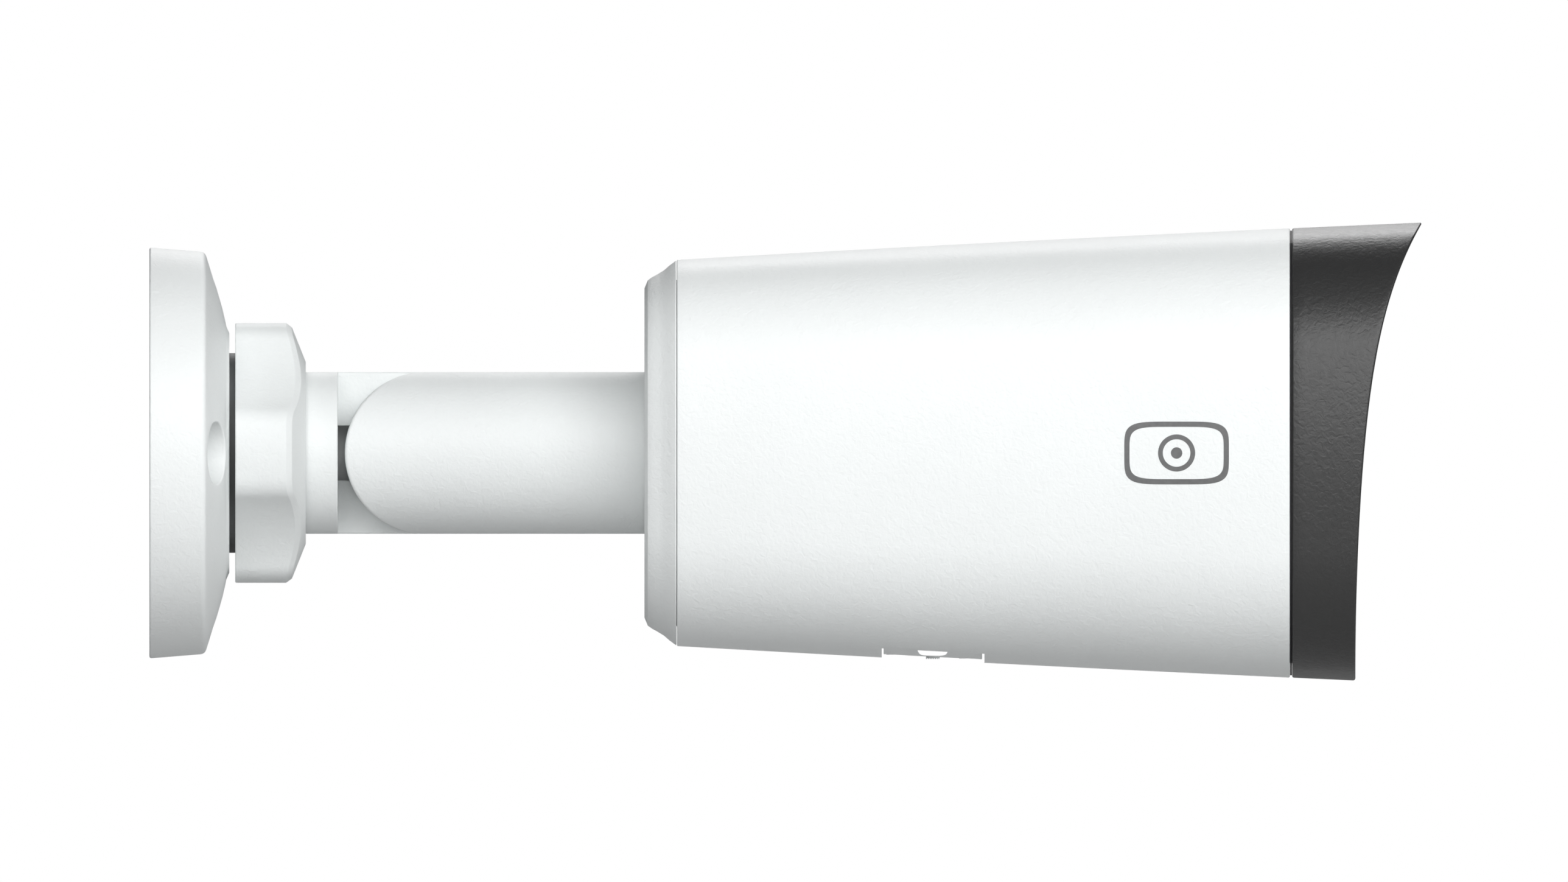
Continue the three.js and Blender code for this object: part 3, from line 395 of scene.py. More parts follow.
# ------------------------------------------------------------------ materials


class Nodes:
    """A short way to write a node material."""

    def __init__(self, name):
        self.material = bpy.data.materials.new(name)
        self.material.use_nodes = True
        self.tree = self.material.node_tree
        self.shader = self.tree.nodes["Principled BSDF"]
        self.place = self.add("ShaderNodeTexCoord").outputs["Object"]

    def add(self, kind, **values):
        node = self.tree.nodes.new(kind)
        for key, value in values.items():
            if key in node.inputs:
                node.inputs[key].default_value = value
            else:
                setattr(node, key, value)
        return node

    def link(self, source, target):
        self.tree.links.new(source, target)

    def noise(self, scale, detail=2.0, roughness=0.5, distortion=0.0, place=None):
        node = self.add(
            "ShaderNodeTexNoise",
            Scale=scale, Detail=detail, Roughness=roughness, Distortion=distortion,
        )
        self.link(place or self.place, node.inputs["Vector"])
        return node.outputs["Fac"]

    def stretch(self, x, y, z):
        """The object's own coordinates, stretched along each axis."""
        node = self.add("ShaderNodeMapping", Scale=(x, y, z))
        self.link(self.place, node.inputs["Vector"])
        return node.outputs["Vector"]

    def ramp(self, source, stops):
        node = self.add("ShaderNodeValToRGB")
        elements = node.color_ramp.elements
        while len(elements) < len(stops):
            elements.new(0.5)
        for element, (position, color) in zip(elements, stops):
            element.position = position
            element.color = (*color, 1)
        self.link(source, node.inputs["Fac"])
        return node.outputs["Color"]

    def spread(self, source, low, high):
        node = self.add("ShaderNodeMapRange")
        node.inputs["To Min"].default_value = low
        node.inputs["To Max"].default_value = high
        self.link(source, node.inputs["Value"])
        return node.outputs["Result"]

    def mix(self, first, second, factor):
        """Adds factor times the second height to the first."""
        node = self.add("ShaderNodeMath", operation="MULTIPLY_ADD")
        self.link(second, node.inputs[0])
        node.inputs[1].default_value = factor
        self.link(first, node.inputs[2])
        return node.outputs["Value"]

    def bump(self, height, depth_mm, strength=1.0):
        node = self.add("ShaderNodeBump", Strength=strength, Distance=depth_mm * MM)
        self.link(height, node.inputs["Height"])
        self.link(node.outputs["Normal"], self.shader.inputs["Normal"])

    def set(self, **values):
        names = {"color": "Base Color", "rough": "Roughness", "metal": "Metallic"}
        for key, value in values.items():
            socket = self.shader.inputs[names.get(key, key)]
            if hasattr(value, "is_output"):
                self.link(value, socket)
            else:
                is_color = isinstance(value, tuple) and len(value) == 3
                socket.default_value = (*value, 1) if is_color else value
        return self


def shade(color, factor):
    return tuple(min(1.0, c * factor) for c in color)


def powder_coat(name, color, rough, depth_mm, shine=0.5):
    """Satin powder coat: wrinkles about 1.3 mm apart, finer pebbling and a faint mottle."""
    n = Nodes(name)
    wrinkles = n.noise(760, 3.0, 0.5, 0.9)
    pebbles = n.noise(2100, 2.0, 0.5, 0.3)
    height = n.mix(wrinkles, pebbles, 0.2)
    n.bump(height, depth_mm)
    mottle = n.noise(28, 3.0, 0.6)
    n.set(color=n.ramp(mottle, [(0.3, shade(color, 0.985)), (0.7, shade(color, 1.01))]))
    n.set(rough=n.spread(wrinkles, rough - 0.05, rough + 0.07), **{"Specular IOR Level": shine})
    return n.material


def rubber():
    n = Nodes("rubber")
    n.bump(n.noise(2400, 2.0), 0.01)
    n.set(color=(0.018, 0.018, 0.02), rough=n.spread(n.noise(300, 3.0), 0.62, 0.85))
    return n.material


def metal(name, color, rough, grain=(4000, 60, 60), depth_mm=0.004):
    """Bare metal with fine drawn or turned lines along one axis and slight tarnish."""
    n = Nodes(name)
    lines = n.noise(1.0, 3.0, 0.6, place=n.stretch(*grain))
    cloud = n.noise(90, 3.0, 0.55)
    n.bump(lines, depth_mm)
    n.set(color=n.ramp(cloud, [(0.3, shade(color, 0.86)), (0.7, color)]), metal=1.0)
    n.set(rough=n.spread(n.mix(lines, cloud, 0.5), rough - 0.05, rough + 0.15))
    return n.material


def gloss_plastic():
    """Piano-black moulding with a faint flow waviness."""
    n = Nodes("gloss_black")
    n.bump(n.noise(60, 2.0, 0.4), 0.01)
    n.set(color=(0.008, 0.008, 0.009), rough=n.spread(n.noise(90, 3.0), 0.08, 0.14))
    n.set(**{"Specular IOR Level": 0.5, "Coat Weight": 0.4, "Coat Roughness": 0.04})
    return n.material


def satin_plastic(name, color, rough):
    n = Nodes(name)
    n.bump(n.noise(1500, 3.0, 0.6), 0.012)
    n.set(color=n.ramp(n.noise(40, 3.0), [(0.35, shade(color, 0.9)), (0.65, color)]))
    n.set(rough=n.spread(n.noise(700, 2.0), rough - 0.06, rough + 0.06))
    return n.material


def circuit_board():
    """Green solder mask over copper tracks, with tinned pads."""
    n = Nodes("circuit_board")
    tracks = n.add("ShaderNodeTexBrick", offset=0.37, squash=0.6, squash_frequency=3)
    tracks.inputs["Scale"].default_value = 260
    tracks.inputs["Mortar Size"].default_value = 0.09
    tracks.inputs["Color1"].default_value = (0.012, 0.085, 0.035, 1)
    tracks.inputs["Color2"].default_value = (0.010, 0.065, 0.028, 1)
    tracks.inputs["Mortar"].default_value = (0.030, 0.160, 0.065, 1)
    n.link(n.place, tracks.inputs["Vector"])
    n.bump(tracks.outputs["Fac"], 0.03)
    n.set(color=tracks.outputs["Color"], rough=n.spread(n.noise(900, 2.0), 0.25, 0.45))
    return n.material


def clear_glass():
    n = Nodes("window_glass")
    n.bump(n.noise(25, 1.0), 0.002)
    tint = n.ramp(n.noise(30, 2.0), [(0.3, (0.92, 0.94, 0.95)), (0.7, (0.94, 0.96, 0.97))])
    n.set(color=tint, rough=0.0)
    n.set(**{"Transmission Weight": 1.0, "IOR": 1.46})
    return n.material


def coated_lens():
    """Dark optical glass whose coating goes from violet to green with the angle."""
    n = Nodes("coated_lens")
    facing = n.add("ShaderNodeLayerWeight", Blend=0.35).outputs["Facing"]
    tint = n.ramp(facing, [
        (0.0, (0.018, 0.008, 0.05)), (0.45, (0.010, 0.035, 0.045)), (1.0, (0.05, 0.02, 0.08)),
    ])
    n.bump(n.noise(20, 1.0), 0.002)
    n.set(color=tint, rough=n.spread(n.noise(400, 2.0), 0.01, 0.05))
    n.set(**{"Specular IOR Level": 0.9, "Coat Weight": 1.0})
    n.set(**{"Coat Roughness": 0.01, "Coat IOR": 1.8})
    return n.material


def led_epoxy():
    n = Nodes("led_epoxy")
    n.bump(n.noise(200, 1.0), 0.004)
    tint = n.ramp(n.noise(500, 2.0), [(0.3, (0.05, 0.018, 0.028)), (0.7, (0.10, 0.04, 0.055))])
    n.set(color=tint, rough=n.spread(n.noise(900, 2.0), 0.05, 0.12))
    n.set(**{"Coat Weight": 1.0, "Coat Roughness": 0.03})
    return n.material


def printed_ink():
    n = Nodes("printed_ink")
    n.bump(n.noise(560, 3.0, 0.55, 1.1), 0.02)
    tint = n.ramp(n.noise(900, 3.0), [(0.3, (0.125, 0.127, 0.128)), (0.7, (0.15, 0.152, 0.153))])
    n.set(color=tint, rough=n.spread(n.noise(1200, 2.0), 0.4, 0.6))
    return n.material


SHELL = powder_coat("white_powder_coat", (0.875, 0.9, 0.897), 0.46, 0.11)
# painted shade: a darker copy of the white coat for the nut, stem and arm, standing in for the
# shade that falls on them between the base and the body
SHADED_BRACKET_COAT = powder_coat("bracket_coat_painted_shade", (0.815, 0.84, 0.837), 0.5, 0.11)
VISOR_COAT = powder_coat("grey_powder_coat", (0.027, 0.027, 0.027), 0.4, 0.11, 0.6)
RUBBER = rubber()
STEEL = metal("zinc_steel", (0.62, 0.63, 0.65), 0.28)
ALLOY = metal("pressed_alloy", (0.58, 0.59, 0.61), 0.36, (60, 4000, 60))
BRASS = metal("machined_brass", (0.62, 0.45, 0.19), 0.26, (60, 60, 4000))
GLOSS_BLACK = gloss_plastic()
SATIN_BLACK = satin_plastic("satin_black", (0.02, 0.02, 0.022), 0.42)
THREAD = satin_plastic("thread_dark", (0.11, 0.115, 0.115), 0.5)
NYLON = satin_plastic("nylon", (0.74, 0.71, 0.62), 0.5)
BOARD = circuit_board()
GLASS = clear_glass()
LENS = coated_lens()
LED = led_epoxy()
INK = printed_ink()

SLOT_MATERIAL = {
    "shell": SHELL, "visor": VISOR_COAT, "rubber": RUBBER, "steel": STEEL, "alloy": ALLOY,
    "black_plastic": SATIN_BLACK, "nylon": NYLON, "window_glass": GLASS, "lens_glass": LENS,
    "circuit_board": BOARD, "led_lens": LED, "brass": BRASS,
}

for node, obj in frame["nodes"].items():
    obj.data.materials.clear()
    obj.data.materials.append(SLOT_MATERIAL[SLOT_OF[node]])

# ------------------------------------------------------------------ wall bracket


def base_front(y, z):
    """X of the base's coned front at a place on it."""
    r = math.hypot(y, z)
    for (x0, r0), (x1, r1) in zip(BASE_FRONT, BASE_FRONT[1:]):
        if r >= r1:
            break
    return x0 + (x1 - x0) * (r0 - r) / (r0 - r1)


def back_cell(angle):
    """One of three hollows in the base's back, between two ribs and round a screw boss."""
    inner, outer, boss, rib = 18.0, 37.0, 9.0, 1.2
    depth, lip, corner = 8.5, 0.35, 2.4
    inner_clear, outer_clear = 0.14, 0.07  # angles that keep the arcs' points off the corners
    side = math.asin(boss / WALL_HOLE_CIRCLE)

    def polar(r, a):
        return (r * math.cos(a), r * math.sin(a), corner)

    def arc(r, low, high, steps, centre=0.0):
        turns = [low + (high - low) * (i + 0.5) / steps for i in range(steps)]
        return [(centre + r * math.cos(a), r * math.sin(a)) for a in turns]

    rib_in = math.pi / 3 - math.asin(rib / inner)
    rib_out = math.pi / 3 - math.asin(rib / outer)
    tangent = math.pi / 2 + side
    outline = rounded([
        polar(inner, rib_in),
        *arc(inner, rib_in - inner_clear, inner_clear - rib_in, 36),
        polar(inner, -rib_in),
        polar(outer, -rib_out),
        *arc(outer, outer_clear - rib_out, -side - outer_clear, 18),
        polar(outer, -side),
        *arc(boss, -tangent, tangent - 2 * math.pi, 30, WALL_HOLE_CIRCLE),
        polar(outer, side),
        *arc(outer, side + outer_clear, rib_out - outer_clear, 18),
        polar(outer, rib_out),
    ])
    profile = [
        (-1, lip), (0, lip), (0.1, 0.55 * lip), (lip, 0), (depth - 0.7, 0),
        (depth - 0.43, -0.06), (depth - 0.2, -0.2), (depth - 0.06, -0.43), (depth, -0.7),
    ]
    rings = [[(x, y, z) for y, z in offset(outline, grow)] for x, grow in profile]
    return turn(stack("tool", rings), Matrix.Rotation(angle, 4, "X"))


def make_base():
    """Round cast base: drafted rim, coned front, threaded neck, hollow ribbed back."""
    bore_r, shank_r = 14.5, 2.7
    base = sweep("base", [
        (WALL_X, RIM_R, 0.5), (*BASE_FRONT[0], 1.5), *BASE_FRONT[1:], (16.15, 26.7, 0.5),
        (NECK_X, 25.2, 0.6), (NECK_X, NECK_R, 0.2), (NECK_END, NECK_R, 0.6),
        (NECK_END, bore_r, 0.4), (WALL_X, bore_r, 0.4),
    ], circle(192))
    for i in range(3):
        angle = math.pi + i * 2 * math.pi / 3
        place = (WALL_HOLE_CIRCLE * math.cos(angle), WALL_HOLE_CIRCLE * math.sin(angle))
        pocket = mouthed_hole(
            place, WALL_HOLE_R, WALL_HOLE_FLOOR, base_front, lambda y, z, x: (x, y, z),
        )
        shank = sweep("tool", [
            (-1, 0), (-1, shank_r + 0.3), (0, shank_r + 0.3), (0.3, shank_r),
            (WALL_HOLE_FLOOR + 1, shank_r), (WALL_HOLE_FLOOR + 1, 0),
        ], SMALL_CIRCLE, place)
        cut(base, pocket, shank, back_cell(angle))
    dress(base, "base_shell", SHELL, ["base_plate"])
    sleeve_x0, sleeve_x1 = NECK_X + 0.05, NECK_END - 0.8
    sleeve = sweep("sleeve", [
        (sleeve_x0, NECK_R - 0.1), (sleeve_x0, NECK_R + 0.1),
        (sleeve_x1, NECK_R + 0.1), (sleeve_x1, NECK_R - 0.1),
    ])
    dress(sleeve, "neck_sleeve", THREAD, body="base")
    first_ridge, pitch, half = 18.9, 1.35, 0.45
    for k in range(5):
        x = first_ridge + pitch * k
        ridge = sweep("ridge", [
            (x - half, NECK_R - 0.05), (x, NECK_R + 0.22, 0.08), (x + half, NECK_R - 0.05),
        ])
        dress(ridge, f"neck_thread_{k + 1}", THREAD, body="base")


def polar_offset(distance, angle):
    """A point's place along and across a ray, from its distance and its angle to that ray."""
    return distance * math.cos(angle), distance * math.sin(angle)


def nut_outline(angle):
    """Radius of the lobed nut at an angle: round lobes joined by wide hollows."""
    lobe_half = math.radians(11.64)
    fillet = 6.0
    hollow = 44.0
    hollow_centre = 22.4 + hollow
    centre = NUT_R - fillet
    fold = abs((angle + math.pi / 4) % (math.pi / 2) - math.pi / 4)
    if fold <= lobe_half:
        return NUT_R
    start = Vector(polar_offset(centre, lobe_half))
    deep = Vector((hollow_centre, hollow_centre)) / math.sqrt(2)
    touch = start + (deep - start).normalized() * fillet
    if fold <= math.atan2(touch.y, touch.x):
        along, across = polar_offset(centre, fold - lobe_half)
        return along + math.sqrt(fillet**2 - across**2)
    along, across = polar_offset(hollow_centre, math.pi / 4 - fold)
    return along - math.sqrt(hollow**2 - across**2)


def make_nut():
    """Lobed lock nut; its coned front meets the lobes in a wavy bevelled edge."""
    cone_x, cone_r, cone_slope = 30.0, 26.4, 2.517
    bevel_slope, bevel_run = 0.72, 0.89
    shoulder_x = 30.3
    end_r = cone_r - cone_slope * (NUT_X1 - cone_x)
    count = 288
    columns = []
    for k in range(count):
        angle = 2 * math.pi * k / count
        r = nut_outline(angle)
        meet_x = cone_x + (cone_r - r) / cone_slope
        bevel_x = meet_x - bevel_run
        edge_x = meet_x + bevel_slope * bevel_run / (cone_slope - bevel_slope)
        edge_r = r - bevel_slope * (edge_x - bevel_x)
        profile = rounded([
            (NUT_X0, NECK_R + 0.9), (NUT_X0, r, 0.35), ((NUT_X0 + bevel_x) / 2, r),
            (bevel_x, r, 0.35), (edge_x, edge_r, 0.5), (NUT_X1, end_r, 0.3),
            (NUT_X1, BAR_R + 0.3, 0.35), (shoulder_x, BAR_R + 0.3),
            (shoulder_x, NECK_R + 0.3), (NUT_X0, NECK_R + 0.3, 0.35),
        ])
        columns.append([(x, size * math.cos(angle), size * math.sin(angle)) for x, size in profile])
    nut = grid("nut", [list(ring) for ring in zip(*columns)])
    dress(nut, "lock_nut_shell", SHADED_BRACKET_COAT, ["lock_nut"], angle=50)


def hub_groove():
    """The ring-shaped channel round the elbow's hub that the cable passes through."""
    groove_r, half = 13.6, 5.5
    groove = bar_y(groove_r, -half, half, ELBOW_X)
    return cut(groove, bar_y(HUB_R, -half - 1, half + 1, ELBOW_X))


def elbow_bar(name, length, sign):
    """A bar halved at one end into a round cheek about the elbow's axis.

    It is drawn as level sections, which are seen from above. They run from the elbow's axis
    along sign times X, and the cheek lies on the side of sign times -Y.
    """
    gap, edge, steps = 0.15, 0.4, 96
    last_tilt = 88.5  # degrees: the sections stop just short of the bar's top and bottom lines
    rings = []
    for i in range(steps + 1):
        tilt = math.radians(-last_tilt + 2 * last_tilt * i / steps)
        z = BAR_R * math.sin(tilt)
        w = BAR_R * math.cos(tilt)
        over = max(0.0, abs(z) - (BAR_R - edge))
        flat = min(gap + edge - math.sqrt(edge**2 - over**2), 0.9 * w)
        section = rounded([
            (-w, -w, 0.8), (length, -w), (length, w), (SHOULDER, w, edge), (SHOULDER, -flat, 0.3),
            (-w, -flat, edge),
        ])
        rings.append([(ELBOW_X + sign * u, sign * v, z) for u, v in section])
    return stack(name, rings)


def make_stem():
    flange_r, flange_x1 = 19.6, 29
    screw_r, head_hole_r, head_hole_floor = 3.1, 5.4, 9.1
    bore_x = 37
    stem = elbow_bar("stem", ELBOW_X - STEM_X0 - 0.05, -1)
    flange = sweep("tool", [
        (STEM_X0, FLANGE_ROOT), (STEM_X0, flange_r, 0.3), (flange_x1, flange_r, 0.3),
        (flange_x1, FLANGE_ROOT),
    ])
    boolean(stem, "UNION", flange)
    hub_x = ELBOW_X - HUB_R - 1
    cable_bore = sweep("tool", [
        (STEM_X0 - 1, 0), (STEM_X0 - 1, WIDE_BORE_R), (bore_x, WIDE_BORE_R),
        (bore_x, BORE_R), (hub_x, BORE_R), (hub_x, 0),
    ])
    head_hole = mouthed_hole(
        (ELBOW_X, 0), head_hole_r, head_hole_floor,
        lambda x, z: math.sqrt(BAR_R**2 - z**2), lambda x, z, y: (x, y, z),
    )
    washer_seat = bar_y(HUB_R + 1, -1, 0.7, ELBOW_X)
    screw_hole = bar_y(screw_r, -1, 20, ELBOW_X, 0, SMALL_CIRCLE)
    cut(stem, cable_bore, hub_groove(), washer_seat, screw_hole, head_hole)
    dress(stem, "stem_shell", SHADED_BRACKET_COAT, ["stem"])


def make_arm():
    flange_r, flange_x0, flange_x1 = BAR_R + 3, 108, ARM_X1 - 0.1
    insert_r, insert_depth = 4.9, 12.5
    bore_x = 79.6
    arm = elbow_bar("arm", ARM_X1 - ELBOW_X, 1)
    flange = sweep("tool", [
        (flange_x0, FLANGE_ROOT), (flange_x0, flange_r), (flange_x1, flange_r),
        (flange_x1, FLANGE_ROOT),
    ])
    boolean(arm, "UNION", flange)
    hub_x = ELBOW_X + HUB_R + 1
    cable_bore = sweep("tool", [
        (hub_x, 0), (hub_x, BORE_R), (bore_x, BORE_R),
        (bore_x, WIDE_BORE_R), (ARM_X1 + 1, WIDE_BORE_R), (ARM_X1 + 1, 0),
    ])
    washer_seat = bar_y(HUB_R + 1, -0.7, 1, ELBOW_X)
    insert_hole = bar_y(insert_r, -insert_depth, 1, ELBOW_X, 0, SMALL_CIRCLE)
    cut(arm, cable_bore, hub_groove(), washer_seat, insert_hole)
    dress(arm, "arm_shell", SHADED_BRACKET_COAT, ["arm"])


def socket_screw(name, node):
    """Socket-head cap screw, its axis parallel to Y."""
    shank_r, seat_y, socket_r = 2.9, 10.2, 2.95
    y0, y1 = span(node)[1]
    head_r = span(node)[0][1] - ELBOW_X
    screw = sweep("screw", [
        (y0, 0), (y0, 2.2, 0.3), (y0 + 0.8, shank_r, 0.3), (seat_y, shank_r),
        (seat_y, head_r, 0.3), (y1, head_r, 0.5), (y1, 0),
    ], circle(96))
    socket = bar_x(socket_r, y1 - 3, y1 + 2, ring=circle(6))
    mouth = bar_x(socket_r + 0.35, y1 - 0.35, y1 + 2, ring=SMALL_CIRCLE)
    cut(screw, socket, mouth)
    turn(screw, Matrix.Rotation(math.pi / 2, 4, "Z"))
    turn(screw, Matrix.Translation((ELBOW_X * MM, 0, 0)))
    soften(screw, 0.12)
    dress(screw, name, STEEL, [node], angle=30)


# ------------------------------------------------------------------ rear cover


def make_rear_cover():
    wall_x1, spigot_half, spigot_inner = 107.7, 36.4, 34.4
    bar_hole_r, head_pocket_r = BAR_R + 0.3, 3.3
    outside, pocket_x = 102, REAR_X0 + 2.5
    cover = sweep("cover", [
        (REAR_X0, 0), (REAR_X0, 34.6, 0.7), (104.8, 36.3, 0.3), (105.7, 36.95), (106.9, 37.6),
        (108.2, 38.4), (109.4, 39.45), (110.1, 39.95), (REAR_SEAM, 40.55, 0.2),
        (REAR_SEAM, spigot_half), (SPIGOT_X1, spigot_half, 0.4), (SPIGOT_X1, spigot_inner),
        (wall_x1, spigot_inner, 1.0), (wall_x1, 0),
    ], SQUARE)
    tools = [sweep("tool", [
        (outside, 0), (outside, 19), (REAR_X0, bar_hole_r + 0.35), (REAR_X0 + 0.4, bar_hole_r),
        (109, bar_hole_r), (109, 0),
    ])]
    for i in range(4):
        y, z = centre_of(f"rear_screw_{i + 1}")
        tools.append(sweep("tool", [
            (outside, 0), (outside, 5.4), (REAR_X0 + 0.3, head_pocket_r),
            (pocket_x, head_pocket_r), (pocket_x, 0),
        ], SMALL_CIRCLE, (y, z)))
        tools.append(bar_x(CLEARANCE_R, 103, 112, y, z, SMALL_CIRCLE))
    cut(cover, *tools)
    dress(cover, "rear_cover_shell", SHELL, ["rear_cover"], angle=48)


def pan_screw(node, toward_nose):
    """Pan-head screw with a cross recess, its axis parallel to X."""
    (x0, x1), (y0, y1), _ = span(node)
    place = centre_of(node)
    head = (y1 - y0) / 2
    shank_r, slot_reach, slot_half = 1.5, 1.75, 0.33
    sign = 1 if toward_nose else -1
    crown = x1 if toward_nose else x0
    tip = x0 if toward_nose else x1
    seat = crown - sign * 1.85
    outline = [
        (tip, 0), (tip, 1.0, 0.3), (tip + sign * 2, shank_r, 0.3), (seat, shank_r),
        (seat, head, 0.1), (crown - sign * 1.1, head, 0.4),
        (crown - sign * 0.25, head * 0.72, 0.5), (crown, 0),
    ]
    screw = sweep("screw", outline, SMALL_CIRCLE, place)
    y, z = place
    mouth = sorted((crown - sign * 1.1, crown + sign))
    cut(
        screw,
        block(mouth, (y - slot_reach, y + slot_reach), (z - slot_half, z + slot_half)),
        block(mouth, (y - slot_half, y + slot_half), (z - slot_reach, z + slot_reach)),
    )
    soften(screw, 0.06)
    dress(screw, f"{node}_turned", STEEL, [node], angle=30)


# ------------------------------------------------------------------ housing and hatch


def body_outline(x0, x1, depth, steps):
    stations = [x0 + (x1 - x0) * i / steps for i in range(steps + 1)]
    return [(x, body_half(x) - depth) for x in stations]


def underside(x, depth):
    """(x, z) of a point at a depth above the body's lowest line."""
    return x, -(body_half(x) - depth)


def make_housing():
    outer = body_outline(BODY_X0, BODY_X1, 0, 48)
    inner = body_outline(BODY_X0, BODY_X1, BODY_WALL, 12)[::-1]
    outer[0] = (*outer[0], 0.25)
    outer[-1] = (*outer[-1], 0.3)
    housing = sweep("housing", outer + inner, SQUARE)
    hatch_x0 = HATCH_X0 - 0.4
    hatch_x1 = HATCH_X1 + 0.5
    depth = 1.9
    pad_half, pad_z, opening_top = 26, (-42, -37), -30.5
    pad = block((hatch_x0 - 4, hatch_x1 + 4), (-pad_half, pad_half), pad_z)
    core = body_outline(BODY_X0, BODY_X1, 1.0, 8)
    core = sweep("tool", [(BODY_X0, 0), *core, (BODY_X1, 0)], SQUARE)
    boolean(pad, "INTERSECT", core)
    boolean(housing, "UNION", pad)
    recess = side_slab([
        underside(hatch_x0, depth), underside(hatch_x1, depth),
        (hatch_x1, BELOW), (hatch_x0, BELOW),
    ], WIDE)
    (seal_x0, seal_x1), (_, seal_half), (_, seal_top) = span("hatch_seal")
    x0, x1, half = seal_x0 + 1.3, seal_x1 - 1.3, seal_half - 2.3
    seal = block((x0 - 1.4, x1 + 1.4), (-half - 2.4, half + 2.4), (BELOW, seal_top + 0.1))
    cut(seal, block((x0 + 0.1, x1 - 0.1), (-half - 0.9, half + 0.9), (BELOW - 1, opening_top)))
    opening = block((x0 + 1, x1 - 1), (-half, half), (BELOW, opening_top))
    cut(housing, recess, seal, opening)
    dress(housing, "housing_shell", SHELL, ["housing"], angle=35)


def make_hatch():
    """Service hatch: a curved plate with a finger slot under it and a grip rib."""
    x0, x1 = HATCH_X0, HATCH_X1
    half_width, grip_half, grip_z, groove_z = 17, 7, -43.3, -43.15
    curve = body_outline(x0, x1, 0.7, 10)
    curve[0] = (*curve[0], 0.2)
    curve[-1] = (*curve[-1], 0.2)
    plate = sweep("hatch", [(x0, 0), *curve, (x1, 0)], SQUARE)
    slab = side_slab([
        underside(x0 - 1, 2.0), underside(x1 + 1, 2.0), (x1 + 1, BELOW), (x0 - 1, BELOW),
    ], half_width)
    boolean(plate, "INTERSECT", slab)
    grip = block((163.3, 166.2), (-grip_half, grip_half), (grip_z, -42.4))
    first_groove, pitch, groove = 163.55, 0.48, 0.16
    for k in range(6):
        x = first_groove + pitch * k
        tool = block((x, x + groove), (-grip_half - 1, grip_half + 1), (grip_z - 0.2, groove_z))
        cut(grip, tool)
    boolean(plate, "UNION", grip)
    middle, half_length, slot_depth, slope = 164.75, 3.2, 0.98, 0.0135
    level, top = underside(middle, 1.9)[1], -40.5
    slot = []
    for i in range(17):
        u = -1 + i / 8
        dip = slot_depth * math.sqrt(max(0.0, 1 - u**4))
        slot.append((middle + half_length * u, level - dip - slope * half_length * u))
    slot += [(middle + half_length, top), (middle - half_length, top)]
    cut(plate, side_slab(slot, WIDE))
    for node in ("hatch_screw_1", "hatch_screw_2"):
        (a, b), _, (z0, _) = span(node)
        x = (a + b) / 2
        head_pocket = bar_z(2.45, BELOW, z0 + 0.72, x)
        shank_hole = bar_z(1.2, BELOW, -38, x)
        cut(plate, head_pocket, shank_hole)
    dress(plate, "hatch_shell", SHELL, ["hatch_cover"], angle=35)


def hatch_screw(node):
    """Flat-head screw with a slot, its axis parallel to Z and its head below."""
    head_r, shank_r, seat = 2.2, 1.0, 0.6
    slot_reach, slot_half, slot_depth = 1.4, 0.24, 0.32
    (a, b), _, (z0, z1) = span(node)
    x = (a + b) / 2
    screw = sweep("screw", [
        (z0, 0), (z0, head_r, 0.15), (z0 + seat, head_r), (z0 + seat, shank_r),
        (z1 - 0.4, shank_r, 0.2), (z1, 0.6, 0.2), (z1, 0),
    ], SMALL_CIRCLE)
    turn(screw, Matrix.Rotation(-math.pi / 2, 4, "Y"))
    turn(screw, Matrix.Translation((x * MM, 0, 0)))
    slot_x = (x - slot_reach, x + slot_reach)
    cut(screw, block(slot_x, (-slot_half, slot_half), (BELOW, z0 + slot_depth)))
    dress(screw, f"{node}_turned", STEEL, [node], angle=30)


def make_mark():
    """Generic printed pictogram of a camera on the near side: a frame with a ring and a dot."""
    centre_x = 216.0
    proud, sunk = 0.03, -0.05

    def on_side(x, z, height):
        half = body_half(x) + height
        radius = SIDE_RADIUS * half
        return (x, -(half - radius + math.sqrt(radius**2 - z**2)), z)

    def band(name, outer, inner):
        """A thin printed band between two outlines with the same number of points."""
        rings = []
        for outline, height in [(outer, proud), (inner, proud), (inner, sunk), (outer, sunk)]:
            rings.append([on_side(centre_x + x, z, height) for x, z in outline])
        return dress(grid(name, rings), name, INK, body="camera")

    def superellipse(half_x, half_z, count=96, power=5):
        points = []
        for i in range(count):
            a = 2 * math.pi * i / count
            c, s = math.cos(a), math.sin(a)
            k = (abs(c) ** power + abs(s) ** power) ** (-1 / power)
            points.append((half_x * k * c, half_z * k * s))
        return points

    band("mark_frame", superellipse(11, 6.6), superellipse(9.9, 5.5))
    for name, outer, inner in [("mark_ring", 3.9, 2.9), ("mark_dot", 1.2, 0.01)]:
        band(name, superellipse(outer, outer, power=2), superellipse(inner, inner, power=2))


# ------------------------------------------------------------------ visor and window


